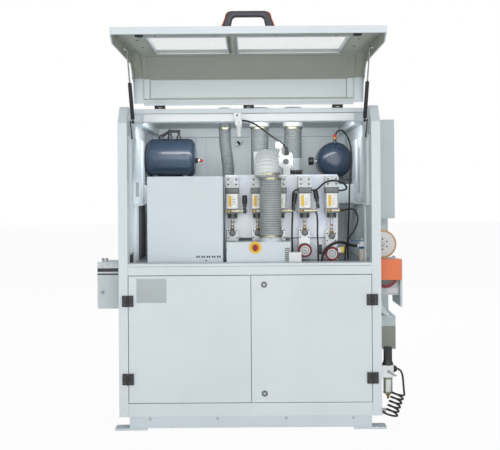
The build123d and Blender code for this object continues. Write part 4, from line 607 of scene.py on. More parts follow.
# Air lines: name, diameter and length in metres, and route in millimetres
LINE_DIAMETER = 0.010
SUPPLY_DIAMETER = 0.016
AIR_LINES = (
    ("lamp_cable", LINE_DIAMETER, 0.406, (
        (-50, 290, 1696), (-14, 290, 1696), (40, 308, 1674), (100, 340, 1632), (158, 384, 1592),
        (208, 436, 1566), (222, 452, 1530), (222, 452, 1499))),
    ("tank_line", LINE_DIAMETER, 0.970, (
        (540, 760, 1616), (540, 760, 1650), (576, 738, 1676), (614, 694, 1628), (630, 650, 1546),
        (626, 600, 1464), (612, 545, 1390), (598, 490, 1310), (590, 440, 1215), (582, 405, 1110),
        (574, 385, 1000), (574, 385, 890))),
    ("loop_line", LINE_DIAMETER, 0.405, (
        (507.5, 270, 1178), (548, 270, 1178), (600, 264, 1190), (622, 258, 1130), (602, 262, 1064),
        (562, 270, 1012), (546, 276, 952), (546, 276, 890))),
    ("supply_hose", SUPPLY_DIAMETER, 0.299, (
        (404, 168, 890), (404, 168, 932), (438, 176, 978), (494, 190, 1002), (542, 214, 994),
        (578, 250, 975), (612, 250, 975))),
    ("drop_line_left", LINE_DIAMETER, 0.430, (
        (278.5, 262, 1296), (250, 262, 1296), (246, 256, 1232), (245, 254, 1146), (241, 257, 1046),
        (244, 262, 956), (244, 262, 890))),
    ("drop_line_right", LINE_DIAMETER, 0.313, (
        (353.5, 258, 1178), (382, 258, 1178), (388, 248, 1118), (385, 242, 1044), (389, 239, 966),
        (389, 239, 890))),
    ("bridge_line", LINE_DIAMETER, 0.306, (
        (353.5, 252, 1292), (386, 252, 1292), (416, 230, 1330), (464, 214, 1350), (520, 216, 1340),
        (556, 238, 1312), (548, 258, 1290), (507.5, 258, 1290))),
)
for name, diameter, length, points in AIR_LINES:
    hose(name, "air_lines", diameter, route(*points))

# Curly hose: a lead from the regulator's port, a helix round a slanted axis, and a tail into the socket
COIL_DIAMETER = 0.011
COIL_RADIUS = 0.032
COIL_TURNS = 5.5
COIL_POINTS = 100
lead = route((797, 40, 318), (818, 40, 312), (829, 36, 276), (831, 30, 222))
top, foot = np.array(route((800, 2, 196), (757, 2, 74)))
axis = (foot - top) / np.linalg.norm(foot - top)
front = np.array([0.0, -1.0, 0.0])
outward = np.cross(front, axis)
turn = np.linspace(0, COIL_TURNS * 2 * np.pi, COIL_POINTS)[:, None]
share = turn / turn[-1]
helix = top + (foot - top) * share + (outward * np.cos(turn) + front * np.sin(turn)) * COIL_RADIUS
tail = route((724, 22, 82), (724, 48, 82))
coil = lead + [tuple(point) for point in helix.tolist()] + tail
hose("curly_hose", "coil_hose", COIL_DIAMETER, coil)

scene = bpy.context.scene
scene.view_settings.view_transform = "Standard"

# Camera at the place where the photograph was taken
camera_data = bpy.data.cameras.new("photo_camera")
camera_data.sensor_fit = "HORIZONTAL"
camera_data.sensor_width = SENSOR
camera_data.lens = FOCAL_PIXELS / FRAME_WIDTH * SENSOR
camera_data.shift_x = CENTRE_OFFSET / FRAME_WIDTH
camera_data.shift_y = -HORIZON_RISE / FRAME_WIDTH
camera = bpy.data.objects.new("photo_camera", camera_data)
camera.location = CAMERA_PLACE
camera.rotation_euler = (math.pi / 2, CAMERA_ROLL, 0)
scene.collection.objects.link(camera)
scene.camera = camera


def seen_directly(tree):
    """1 for rays from the camera, off gloss and through glass, 0 for the rest."""
    path = tree.nodes.new("ShaderNodeLightPath")
    total = path.outputs["Is Camera Ray"]
    for other in ("Is Glossy Ray", "Is Transmission Ray"):
        either = tree.nodes.new("ShaderNodeMath")
        either.operation = "MAXIMUM"
        tree.links.new(total, either.inputs[0])
        tree.links.new(path.outputs[other], either.inputs[1])
        total = either.outputs[0]
    return total


def show_white(tree, share, plain, white, output):
    """Puts a mix of a plain and a white shader on an output, the white one by its share."""
    mixed = tree.nodes.new("ShaderNodeMixShader")
    for socket, source in zip(mixed.inputs, (share, plain, white)):
        tree.links.new(source, socket)
    tree.links.new(mixed.outputs[0], tree.nodes[output].inputs["Surface"])


def studio_world(ambient):
    """Dim, slightly cool surroundings that are seen as white."""
    world = bpy.data.worlds.new("studio")
    world.use_nodes = True
    tree = world.node_tree
    dim = tree.nodes["Background"]
    dim.inputs["Color"].default_value = (0.96, 0.98, 1.0, 1.0)
    dim.inputs["Strength"].default_value = ambient
    white = tree.nodes.new("ShaderNodeBackground")
    white.inputs["Color"].default_value = (1.0, 1.0, 1.0, 1.0)
    show_white(tree, seen_directly(tree), dim.outputs[0], white.outputs[0], "World Output")
    scene.world = world


def studio_floor(half, whiteness):
    """Pale floor that looks white but keeps part of the object's shadow."""
    mesh = bpy.data.meshes.new("floor")
    corners = [(-half, -half, 0), (half, -half, 0), (half, half, 0), (-half, half, 0)]
    mesh.from_pydata(corners, [], [(0, 1, 2, 3)])
    floor = bpy.data.objects.new("floor", mesh)
    scene.collection.objects.link(floor)
    pale = Finish("studio_floor")
    pale.set(Base_Color=(0.86, 0.86, 0.86), Roughness=0.9)
    tree = pale.tree
    glow = tree.nodes.new("ShaderNodeEmission")
    share = Value(pale, seen_directly(tree)) * whiteness
    show_white(tree, share.socket, pale.shader.outputs[0], glow.outputs[0], "Material Output")
    mesh.materials.append(pale.material)


def soft_box(name, place, target, size, power, depth=None):
    """Area lamp aimed at a target: a disk, or a rectangle where its depth is given."""
    data = bpy.data.lights.new(name, "AREA")
    data.shape = "RECTANGLE" if depth else "DISK"
    data.size = size
    data.size_y = depth or size
    data.energy = power
    lamp = bpy.data.objects.new(name, data)
    lamp.location = place
    direction = Vector(target) - Vector(place)
    lamp.rotation_euler = direction.to_track_quat("-Z", "Y").to_euler()
    lamp.visible_camera = False
    scene.collection.objects.link(lamp)


# Surroundings and floor: brightness, half its width in metres, and how white it looks
AMBIENT = 0.4
FLOOR_HALF = 30.0
FLOOR_WHITENESS = 0.95

# Lamps: name, place, target, size in metres, power in watts, and a rectangle's depth
LAMPS = (
    ("front_light", (0.3, -8.5, 1.9), (0, 0, 1.25), 4.4, 144),
    ("left_front_light", (-3.4, -7.4, 1.8), (0, 0, 1.2), 3.4, 84),
    ("right_front_light", (3.4, -7.4, 1.8), (0, 0, 1.2), 3.4, 84),
    ("key_light", (1.2, -4.4, 5.0), (0, -0.4, 1.0), 2.6, 9),
    ("rear_light", (0.5, 4.4, 4.0), (0, 0, 1.2), 2.6, 110),
    ("bay_light", (0, -0.29, 1.68), (0, 0.3, 1.2), 1.16, 4.0, 0.06),
    ("left_bay_light", (-0.584, -0.28, 1.13), (-0.7, -0.28, 1.13), 0.42, 0.35, 0.44),
    ("rear_bay_light", (0, 0.3, 1.665), (0, 0.62, 1.3), 1.1, 0.4, 0.06),
)
studio_world(AMBIENT)
studio_floor(FLOOR_HALF, FLOOR_WHITENESS)
for lamp in LAMPS:
    soft_box(*lamp)


# Directions that turned shapes and screws point to
OUT = (0, -1, 0)
BACK = (0, 1, 0)
UP = (0, 0, 1)
DOWN = (0, 0, -1)
RIGHT = (1, 0, 0)
LEFT = (-1, 0, 0)

# Faces and heights that several pieces share, in millimetres
WALL = 660.4
BACK_WALL = 1250.5
TABLE = 890.5
LEDGE = 1213
LID_UNDER = 2050
HOSE_DEPTH = 790


def sheets(outline, spans):
    """Sheets across the cabinet, one for each span of X: an outline of depths and heights, in millimetres."""
    outline = np.array(outline) * MM + (FRONT, 0.0)
    return [prism(outline, 0, low * MM, high * MM) for low, high in spans]


def front_plate(outline, near, far):
    """Plate facing the front: an outline of widths and heights between two depths, in millimetres."""
    return prism(np.array(outline) * MM, 1, behind(near), behind(far))


# Doors: a bare ruled plate with its rivets, the locks' collars and rings, and the hinges' screws
PLATE_X = (-613, -452)
PLATE_Z = (690, 819)
RIVET_INSET = 7
piece("door_plate", [block(PLATE_X, (-1.4, 0.2), PLATE_Z, 0.6)], "ruled", "left_door")
piece("door_plate_rivets", [
    screw(x, -1.4, z, OUT, 3.2, 1.2)
    for x in (PLATE_X[0] + RIVET_INSET, PLATE_X[1] - RIVET_INSET)
    for z in (PLATE_Z[0] + RIVET_INSET, PLATE_Z[1] - RIVET_INSET)
], "steel", "left_door")
LOCK_X = 76
LOCKS = {"lower_lock": 196, "upper_lock": 784}
piece("lock_collars", [band(LOCK_X, 0.4, z, OUT, 15.4, 16.8, 1.8) for z in LOCKS.values()],
      "cap_grey", "right_door")
for body, z in LOCKS.items():
    piece(f"{body}_ring", [band(LOCK_X, -3.9, z, OUT, 7.0, 14.8, 0.8)], "cap_grey", body)
HINGE_SCREWS = [z + step for z in (278, 700) for step in (-16, 16)]
HINGE_FACE = -12
for side, body in ((-1, "left_door"), (1, "right_door")):
    for leaf, x, rider in (("hinge", 643, body), ("frame", 677, "cabinet")):
        heads = [screw(side * x, HINGE_FACE, z, OUT, 4.6, 0.9) for z in HINGE_SCREWS]
        piece(f"{body}_{leaf}_screws", heads, "steel_dark", rider)
piece("plinth_screws", [screw(x, 5, 62, OUT, 8.0, 5.0) for x in (-545, -179, 191, 556)], "steel")

# Hood: lining sheets, a sheet of painted shade on the slope, window frames and screws
piece("hood_upright_sheet", [
    block((-560, 557), (276.5, 280.5), (1826, 1928), 1.2),
    block((-598, -566), (274.5, 280.5), (1822, 1934), 1.2),
    block((563, 598), (274.5, 280.5), (1822, 1934), 1.2),
], "lining", "lid")
piece("hood_rear_lip", [block((-598, 598), (274.5, 279.5), (1783, 1801), 1.5)], "lining", "lid")
SLOPE_TOP = np.array([146.0, 2045.0])
SLOPE_FOOT = np.array([276.0, 1935.4])
SLOPE_LIFT = 3.0
SUNK_SHARE = 0.3
run = (SLOPE_FOOT - SLOPE_TOP) / np.linalg.norm(SLOPE_FOOT - SLOPE_TOP)
lift = np.array([run[1], -run[0]]) * SLOPE_LIFT
sink = lift * SUNK_SHARE
slope = [SLOPE_TOP + lift, SLOPE_FOOT + lift, SLOPE_FOOT - sink, SLOPE_TOP - sink]
# Thin olive-grey sheet over the slope: painted shade
piece("hood_slope_shade_sheet", sheets(slope, ((-597, -566), (-561, 561), (566, 597))), "mat", "lid")
WINDOWS = ((-500, -110), (-55, 495))
FRAME_Z = (2043, 2050.5)
window_frames = []
for low, high in WINDOWS:
    sides = ((low - 4, low + 3), (high - 3, high + 4))
    window_frames += [block(x, (-423, 70), FRAME_Z, 1.0) for x in sides]
    window_frames += [block((low - 4, high + 4), depth, FRAME_Z, 1.0) for depth in ((-427, -420), (67, 74))]
piece("window_frames", window_frames, "lining", "lid")
hood_rows = [(x, -438) for x in (-455, -160, 140, 430)]
hood_rows += [(x, 100) for x in (-455, -155, 145, 445)]
hood_rows += [(x, depth) for x in (-556, 556) for depth in (-330, -120)]
HOOD_SCREW = (5.5, 3.0)
CHEEK_FACE = 652
CHEEK_SCREWS = ((-218, 2020), (-60, 2034), (190, 1930))
piece("hood_screws", [screw(*spot, LID_UNDER, DOWN, *HOOD_SCREW) for spot in hood_rows], "steel_dark", "lid")
piece("cheek_screws", [
    screw(side * CHEEK_FACE, *spot, (-side, 0, 0), *HOOD_SCREW) for side in (-1, 1) for spot in CHEEK_SCREWS
], "steel_dark", "lid")

# Hood: thin sheets in the lining's olive grey, which is painted shade, inside the cheeks and on the skin
# beside the lining, and two buffers
CHEEK_SHEET = [(-520, 2064), (144, 2064), (293, 1940), (232, 1912), (123, 2003), (-520, 2003)]
MARGIN_SHEET = [(-560, 2065.2), (145, 2065.2), (294, 1940), (292.6, 1939.6), (144.4, 2063.8), (-560, 2063.8)]
piece("hood_cheek_shade_sheets", sheets(CHEEK_SHEET, ((-652.2, -650.8), (650.8, 652.2))), "hood_lining", "lid")
piece("hood_margin_shade_sheets", sheets(MARGIN_SHEET, ((-651, -599), (599, 651))), "hood_lining", "lid")
BUFFER = [(21, 0), (21, 7), (18, 11), (9, 11.5), (8, 7)]
piece("hood_buffers", [spun(x, -478, LID_UNDER, DOWN, BUFFER) for x in (-530, 530)], "black", "lid")

# Grip on the hood: rings of a superellipse carried along between an outer and an inner arch
GRIP_FOOT = 2069
GRIP_DEPTH = -520
GRIP_HALF = 17


def arch(half, height, lean, corner, steps=20):
    """Outline of a bridge from its right foot to its left: leaning legs and round shoulders."""
    turn = np.linspace(0, np.pi / 2, steps)
    x = half - lean - corner + corner * np.cos(turn)
    z = height - corner + corner * np.sin(turn)
    side = np.vstack([[(half, 0.0)], np.column_stack([x, z])])
    return np.vstack([side, side[::-1] * (-1, 1)])


def squared_circle(count, power):
    """Cosine and sine round a superellipse, fuller in its corners than a circle."""
    angle = np.linspace(0, 2 * np.pi, count, endpoint=False)
    wave = np.stack([np.cos(angle), np.sin(angle)])
    return np.sign(wave) * np.abs(wave) ** (2 / power)


def grip_rings(x, depth, rise):
    """Rings of points from widths, depths and heights above the grip's feet, in millimetres."""
    depth = np.broadcast_to(depth, x.shape)
    return np.stack([x * MM, FRONT + depth * MM, (GRIP_FOOT + rise) * MM], -1)


outer = arch(131, 84, 20, 34)
inner = arch(85, 54, 8, 20)
middle, reach = (outer + inner) / 2, (outer - inner) / 2
swell, spread = squared_circle(24, 3.2)
ring_x, ring_z = (middle[:, None, k] + reach[:, None, k] * swell for k in (0, 1))
grip = grip_rings(ring_x, GRIP_DEPTH + GRIP_HALF * spread, ring_z)
piece("hood_grip", [closed_surface(grip)], "anthracite", "lid", replaced=["lid_handle"])

# Coloured strips along the grip's outer edges: a section of heights and widths, carried up each leg
STRIP_POINTS = 15
STRIP_SECTION = np.array([(-2.0, -12.5), (1.2, -10.5), (1.2, 10.5), (-2.0, 12.5)])
edge = outer[:STRIP_POINTS]
tangent = np.gradient(edge, axis=0)
normal = np.column_stack([tangent[:, 1], -tangent[:, 0]]) / np.linalg.norm(tangent, axis=1)[:, None]
strip_x, strip_z = (edge[:, None, k] + normal[:, None, k] * STRIP_SECTION[:, 0] for k in (0, 1))
strips = []
for side in (1, -1):
    strip = grip_rings(side * strip_x, GRIP_DEPTH + STRIP_SECTION[:, 1], strip_z)
    strips.append(closed_surface(strip[:, ::side]))
piece("hood_grip_strips", strips, "orange_cap", "lid")


# Press-roller stations: what is bolted to each cylinder, and what moves with its slide
STATIONS = (-97, 47, 174, 316, 470)
DROPS = (0, 0, 0, 0, 20)
FACE = 240.5
CYLINDER_DEPTH = 278
CYLINDER_BORE = 9.4
PORT_HEIGHT = 1177
SLIDE_HEAD = 1052
ROLLER_HEIGHT = 950
ROLLER_FACE = 256.4
PLUG = [(9, -2), (9, 4), (7.5, 5.5), (5, 5.5)]
FITTING = [(10, 0), (10, 9), (8, 10), (8, 22), (9.4, 23), (9.4, 30), (6, 32)]
NOSE = [(23, -0.4), (26.8, 4), (26.8, 30)]
SLIDE_NUT = [(13, 0), (13, 11), (11, 13)]
SLIDE_PIN = [(18.5, -4), (18.5, 3), (16, 6), (12, 6.6), (11, 4.6), (5, 4.6)]
ROLLER_HUB = [(10.8, -1), (10.8, 2.2), (9, 4.4), (5.5, 5.2), (4.8, 3.4)]


def sleeve(x, z, half, sides=72):
    """Square tube with a cylinder's bore: a superellipse outside and a circle inside, both carried up."""
    outer, inner = squared_circle(sides, 12) * half, squared_circle(sides, 2) * CYLINDER_BORE
    rows = [np.vstack([ring + [[x], [CYLINDER_DEPTH]], np.full(sides, level)]).T
            for ring, level in ((inner, z[0]), (outer, z[0]), (outer, z[1]), (inner, z[1]))]
    return joined_rings(np.stack(rows) * MM + (0.0, FRONT, 0.0))


mount_screws, caps, barrels, patches, stripes, brass, noses, tie_rods = ([] for _ in range(8))
for x in STATIONS:
    mount_screws += [screw(x + dx, FACE, z, OUT, 5.0, 3.0) for dx in (-23, 23) for z in (1328, 1356)]
    caps.append(block((x - 38.6, x + 38.6), (FACE - 1.2, 316.7), (1275, 1311), 4))
    barrels.append(sleeve(x, (1189.5, 1276.5), 33.4))
    patches.append(block((x - 21, x - 5), (243.8, 245), (1203, 1264), 0.3))
    stripes += [block((x - 1, x + 17), (243.9, 245), (z, z + 3), 0.3) for z in (1214, 1228, 1242)]
    caps.append(sleeve(x, (1163, 1191), 38.2))
    brass.append(spun(x - 20, FACE, PORT_HEIGHT, OUT, PLUG, 6))
    brass.append(spun(x + 37, CYLINDER_DEPTH, PORT_HEIGHT, RIGHT, FITTING, 24))
    noses.append(hollow(x, CYLINDER_DEPTH, 1134, UP, NOSE, CYLINDER_BORE))
    tie_rods += [spun(x + dx, FACE + 5, 1190, UP, [(3.4, 0), (3.4, 86)], 16) for dx in (-33.5, 33.5)]

piece("mount_screws", mount_screws, "steel_dark")
piece("cylinder_caps", caps, "cap_grey")
piece("cylinder_barrels", barrels, "barrel")
piece("cylinder_patches", patches, "yellow")
piece("cylinder_stripes", stripes, "grey")
piece("cylinder_ties", tie_rods, "steel")
piece("cylinder_fittings", brass, "brass")
piece("cylinder_noses", noses, "nose")
for number, (x, drop) in enumerate(zip(STATIONS, DROPS), 1):
    body = f"roller_slide_{number}"
    head = SLIDE_HEAD - drop
    piece(f"slide_nut_{number}", [spun(x, CYLINDER_DEPTH, head + 14, UP, SLIDE_NUT, 6)], "brass", body)
    piece(f"slide_pin_{number}", [spun(x, 258, head, OUT, SLIDE_PIN)], "cap_grey", body)
    heads = [screw(x + dx, 306.7, head + dz, OUT, 4.4, 2.4) for dx in (-24, 24) for dz in (12, -30)]
    piece(f"slide_screws_{number}", heads, "steel_dark", body)
    z = ROLLER_HEIGHT - drop
    wheel = f"press_roller_{number}"
    piece(f"roller_rings_{number}", [
        band(x, ROLLER_FACE, z, OUT, 21, 28, 2.4), band(x, ROLLER_FACE, z, OUT, 10.5, 15.5, 2.8),
    ], "white", wheel)
    piece(f"roller_groove_{number}", [band(x, 256.2, z, OUT, 15, 21.5, 1.2)], "grey", wheel)
    piece(f"roller_hub_{number}", [spun(x, ROLLER_FACE, z, OUT, ROLLER_HUB, 32)], "steel", body)


def wall_block(side, near, far, depth, z, radius=1.5):
    """Block on one side wall, from its inner face out to the wall."""
    return block(sorted((side * near, side * far)), depth, z, radius)


# Inside of the cabinet: wall linings, rails, rear posts and the shelves below the tanks
LINING = (
    (652, WALL, (85, 760), (LEDGE, 1600)), (645, 653, (85, 150), (LEDGE, 1572)),
    (645, 653, (560, 760), (LEDGE, 1600)), (645, 653, (150, 560), (LEDGE, 1262)),
    (640, WALL, (80, 765), (LEDGE - 4, LEDGE + 4)), (650, WALL, (217, 380), (TABLE, LEDGE - 2)),
)
RAIL_TOP = 1720.4
for side, name, shelf in ((-1, "left", 238), (1, "right", 368)):
    piece(f"wall_lining_{name}", [wall_block(side, *box) for box in LINING], "cabinet")
    rail = wall_block(side, 614, WALL, (361, BACK_WALL), (1678, RAIL_TOP), 2.5)
    piece(f"roof_rail_{name}", [rail], "cabinet")
    piece(f"shelf_{name}", [wall_block(side, shelf, WALL, (640, 700), (LEDGE, 1330), 2.5)], "cabinet")
piece("rear_rail", [block((-614, 614), (1214, BACK_WALL), (1660, RAIL_TOP), 2.5)], "cabinet")
posts = [block(x, (1236, BACK_WALL), (892, 1661), 2.0) for x in ((-361, -291), (298, 368))]
piece("rear_posts", posts, "cabinet")
piece("rubber_flap", [block((-WALL, -655), (482, 767), (892, 1205), 1.2)], "flap")
# Flat grey plates where the side walls have slot recesses: painted shade
piece("wall_slot_shades", [
    block((-653, -651.4), (300, 425), (1262, 1346), 0.6), block((651.4, 656), (430, 486), (1275, 1545), 0.6),
], "grey")


def seam(x, depth, height, axis, radius):
    """Weld seam round a tank: a band that stands a little proud of its wall."""
    return band(x, depth, height, axis, radius - 3, radius + 0.9, 5, 64)


# Tanks: weld seams, ports, short hoses and end fittings
LEFT_TANK_DEPTH, LEFT_TANK_HEIGHT, LEFT_TANK_RADIUS = 745, 1499, 122
RIGHT_TANK_X, RIGHT_TANK_HEIGHT, RIGHT_TANK_RADIUS = 540, 1484, 112
DRAIN_HEIGHT = 1484
FITTING_DEPTH = 760
PORTS = (-551, -494, -439)
PORT = [(13, -10), (13, 6), (16, 7), (16, 16), (9, 18)]
KNOB_HEAD = [(16, 0), (24, 2), (25, 5), (25, 28), (21, 33), (4, 34)]
depth = LEFT_TANK_DEPTH
left_seams = [seam(x, depth, LEFT_TANK_HEIGHT, RIGHT, LEFT_TANK_RADIUS) for x in (-588, -392)]
right_seam = seam(RIGHT_TANK_X, HOSE_DEPTH, RIGHT_TANK_HEIGHT, BACK, RIGHT_TANK_RADIUS)
piece("tank_seams", left_seams + [right_seam], "tank")
port_height = LEFT_TANK_HEIGHT + LEFT_TANK_RADIUS - 1
piece("tank_ports", [spun(x, depth, port_height, UP, PORT, 24) for x in PORTS], "steel_dark")
for name, x, profile, finish in (
    ("collar", -337, [(10, -8), (15, 0), (15, 14), (12, 18)], "black"),
    ("ring", -320, [(9, -2), (10, 0), (10, 9), (9, 12)], "white"),
    ("cone", -309, [(9.5, 0), (10, 3), (8.5, 11), (5, 20), (2, 23)], "red"),
):
    piece(f"tank_drain_{name}", [spun(x, depth, DRAIN_HEIGHT, RIGHT, profile, 28)], finish)
piece("tank_elbows", [spun(x, depth, z, axis, profile, 24) for x, z, axis, profile in (
    (PORTS[1], 1635, UP, [(10, 0), (11, 4), (11, 40), (8, 45)]),
    (PORTS[1], 1668, (-0.87, 0, -0.5), [(8, 0), (9, 8), (9, 52), (7, 55)]),
    (PORTS[0], 1634, UP, [(7, 0), (8, 3), (8, 12), (6, 14)]),
    (PORTS[1], 1668, RIGHT, [(8, 0), (8, 62), (6, 64)]),
    (PORTS[2], 1634, UP, [(8, 0), (8, 40), (6, 42)]),
)], "black")
for name, z, profile, finish in (
    ("ring", 1612, [(12, 0), (13, 3), (13, 12), (9, 15)], "brass"),
    ("cap", 1626, [(9, 0), (11, 3), (11, 12), (8, 17)], "red"),
):
    piece(f"tank_fitting_{name}", [spun(RIGHT_TANK_X, FITTING_DEPTH, z, UP, profile, 26)], finish)
piece("gauge_stem", [spun(432, HOSE_DEPTH, 1477, LEFT, [(9, -8), (9, 8), (6, 9), (6, 30)], 24)], "steel")
piece("gauge_knob", [spun(408, HOSE_DEPTH, 1477, LEFT, KNOB_HEAD, 36)], "black")

# Beam: light bar along its lower edge and the lamp's mount
piece("light_bar", [block((-606, 606), (296.5, 301), (1693, 1735), 1.5)], "lamp_white")
piece("lamp_mount", [
    block((-88, -44), (254, 300), (1702, 1738), 3), block((-78, -40), (246, 266), (1664, 1704), 4),
], "lamp_white")
piece("lamp_mount_screw", [screw(-66, 254, 1722, OUT, 5.5, 2.5)], "steel_dark")

# Outfeed cover: a row of slots in pairs as black strips of painted shade, its screw and the joint at its
# right edge
SLOT_STARTS = (-298, -286)
SLOT_PITCH = 29
# Black strips where the slots are: painted shade
piece("cover_slot_shades", [
    block((start + SLOT_PITCH * pair, start + SLOT_PITCH * pair + 8), (139.2, 141), (921, 932), 0.6)
    for pair in range(5) for start in SLOT_STARTS
], "black")
piece("cover_screw", [screw(-243, 140, 906, OUT, 4.0, 2.2)], "steel_dark")
piece("cover_edge", [block((-152, -147.6), (138.6, 600), (TABLE, 1374.6), 1.0)], "base")

# Dust hoses: collars at the roof and clamps, each with its screw housing
HOSES = ((-152, 38), (67, 56), (278, 56))
RISERS = ((119, 1031, 62), (119, 1352, 63), (104, 1378, 70))
RISER_DEPTH = 176
piece("roof_collars", [
    spun(x, HOSE_DEPTH, 1695, UP, [(r + 1, 0), (r + 6, 2), (r + 6, 25.4)], 56) for x, r in HOSES[1:]
], "white")


def clamp(x, depth, z, radius):
    """Band round an upright hose, with a screw housing at its front."""
    housing = block((x - 9, x + 9), (depth - radius - 9, depth - radius + 2), (z - 2, z + 15), 1.5)
    return [band(x, depth, z, UP, radius - 2, radius + 2, 13, 64), housing]


clamps = []
for x, z, radius in RISERS:
    clamps += clamp(x, RISER_DEPTH, z, radius)
for x, radius in HOSES:
    clamps += clamp(x, HOSE_DEPTH, 1680, radius + 1)
piece("hose_clamps", clamps, "clamp")
lugs = [block((x - 8, x + 8), (726, 734), (1396, 1421), 2) for x in (232, 256, 280, 304, 324)]
piece("pipe_clamp", [band(278, HOSE_DEPTH, 1398, UP, 52, 59, 20, 56)] + lugs, "black")

# Valve unit: dial, upper fittings, the screws of its body and the cable's boot
DIAL = [(17, -3), (17, 1.6), (15.5, 2.2), (4, 2.2), (3, 1)]
piece("valve_dial", [spun(217, 415, 1462, OUT, DIAL)], "cap_grey")
piece("valve_top", [
    block((158, 200), (440, 482), (1541, 1580), 5),
    spun(188, 461, 1496, UP, [(12, 0), (12, 12), (8, 16), (8, 46)], 28),
    spun(246, 461, 1496, UP, [(11, 0), (11, 10), (8, 13), (8, 20)], 28),
], "white")
valve_heads = [screw(x, 435, z, OUT, 3.6, 2.0) for x in (182, 252) for z in (1432, 1492)]
piece("valve_screws", valve_heads, "steel_dark")
piece("valve_cable_boot", [spun(222, 452, 1499, UP, [(12, 0), (12, 26), (9, 34), (8, 52)], 28)], "cable")

# Switch on the blade hood: yellow ring, dark grip, terminal block and a junction box on the sill
piece("switch_ring", [band(31, 101.2, 978, OUT, 17.6, 33, 1.8, 56)], "yellow")
piece("switch_grip", [block((27.5, 34.5), (76.6, 82), (962, 994), 2.0)], "black", "switch_knob")
piece("terminal_block", [block((196, 221), (98, 106.4), (906, 974), 1.5)], "cap_grey")
ribs = [block((194.5, 222.5), (95, 99), (z, z + 5), 1.0) for z in range(908, 972, 11)]
piece("terminal_ribs", ribs, "steel")
piece("junction_box", [block((214, 284), (62, 103), (900.3, 953), 3)], "white")

# Fittings between the cylinders: flow valves with dark knobs, and the sensor at the right roller
VALVE_DEPTH = 252
FLOW_VALVES = ((-26, 1163, 0.0), (251, 1176, 0.08), (392, 1190, -0.16))
FLOW_ARMS = ((-60, 36), (212, 40), (354, 36))
FLOW_BODY = [(8, 0), (10, 3), (10, 22), (7, 24), (7, 36), (11, 38), (11, 52), (8, 54)]
FLOW_KNOB = [(12, 0), (14, 3), (14, 46), (11, 50), (6, 51)]
SHORT_ARM = [(7, 0), (8, 2), (8, 46), (6, 48)]
flow_bodies, flow_knobs = [], []
for x, low, lean in FLOW_VALVES:
    axis = (lean, 0, 1)
    flow_bodies.append(spun(x, VALVE_DEPTH, low, axis, FLOW_BODY, 28))
    flow_knobs.append(spun(x + lean * 54, VALVE_DEPTH, low + 53, axis, FLOW_KNOB, 28))
piece("flow_valves", flow_bodies, "steel_dark")
piece("flow_knobs", flow_knobs, "black")
arms = [
    spun(x, VALVE_DEPTH, PORT_HEIGHT, RIGHT, [(8, 0), (8, 24), (6, 25), (6, end)], 24) for x, end in FLOW_ARMS
]
arms += [spun(x - 6, 231, PORT_HEIGHT, RIGHT, SHORT_ARM, 24) for x in STATIONS]
piece("flow_arms", arms, "pale_metal")
piece("lower_plug", [block((384, 409), (226, 250), (930, 984), 4)], "black")
piece("sensor_body", [
    block((500, 520), (226, 248), (938, 970), 3), spun(510, 248, 955, BACK, [(5, -2), (5, 74)], 20),
], "white")
piece("sensor_button", [block((519, 536), (224, 250), (936, 973), 5)], "yellow")

# Sensor on the rear wall, with its foot
TILT = (-0.75, -0.2, -0.62)
piece("rear_sensor", [
    spun(-52, 1232, 1634, TILT, [(10, 0), (13, 4), (13, 17), (10, 19)], 28),
    spun(-76, 1226, 1614, TILT, [(12, 0), (15, 4), (15, 14), (9, 20)], 28),
], "white")
piece("rear_sensor_ring", [spun(-66, 1229, 1623, TILT, [(14, 0), (15, 2), (15, 12), (13, 13)], 28)], "black")
piece("rear_sensor_foot", [block((-74, -56), (1226, BACK_WALL), (1616, 1634), 3)], "steel_dark")

# Ball valve at the right wall: body and nut
piece("ball_valve_cylinder", [spun(640, 250, TABLE, UP, [(19, 0), (20, 3), (20, 62), (18.4, 66)])], "tan")
piece("ball_valve_nut", [spun(640, 250, 958, UP, [(20, 0), (20, 12), (17, 14)], 6)], "blue")


def sector(x, depth, inner, outer, turn, z, steps=10):
    """Upright strip of a tube's wall between two angles in degrees: an arc out and an arc back."""
    angle = np.radians(np.linspace(*turn, steps))
    arc = np.column_stack([np.cos(angle), np.sin(angle)])
    outline = np.vstack([arc * outer, arc[::-1] * inner]) + (x, depth)
    return prism(outline * MM + (0.0, FRONT), 2, z[0] * MM, z[1] * MM)


def fluted(x, depth, z, profile, flutes, cut, sides=192):
    """Upright turned grip with flutes: radius r(h) less cut·s(h)·(1 + cos(flutes·angle)) / 2."""
    radius, height, share = np.array(profile, float).T[:, :, None]
    angle = np.linspace(0, 2 * np.pi, sides, endpoint=False)
    reach = radius - cut * share * (1 + np.cos(flutes * angle)) / 2
    points = np.stack([x + reach * np.cos(angle), depth + reach * np.sin(angle), z + height + 0 * angle], -1)
    return closed_surface(points * MM + (0.0, FRONT, 0.0))


# Sill seam, the fence behind the stations, and the curtain at the outfeed opening
CURTAIN_BACK = -660.6
STRIP_STARTS = range(90, 215, 25)
piece("sill_seam", [block((-655, 655), (-0.5, 0.6), (883.2, 885.4), 0.3)], "mat")
piece("rear_fence", [block((232, 505), (373, 379), (890.2, 1012), 1.5)], "plate")
piece("outfeed_curtain", [
    block((CURTAIN_BACK, -656.5), (depth, depth + 24), (893, 944), 0.8) for depth in STRIP_STARTS
], "seal")
piece("outfeed_curtain_rail", [block((CURTAIN_BACK, -655), (88, 216), (942, 952), 1.2)], "grey")

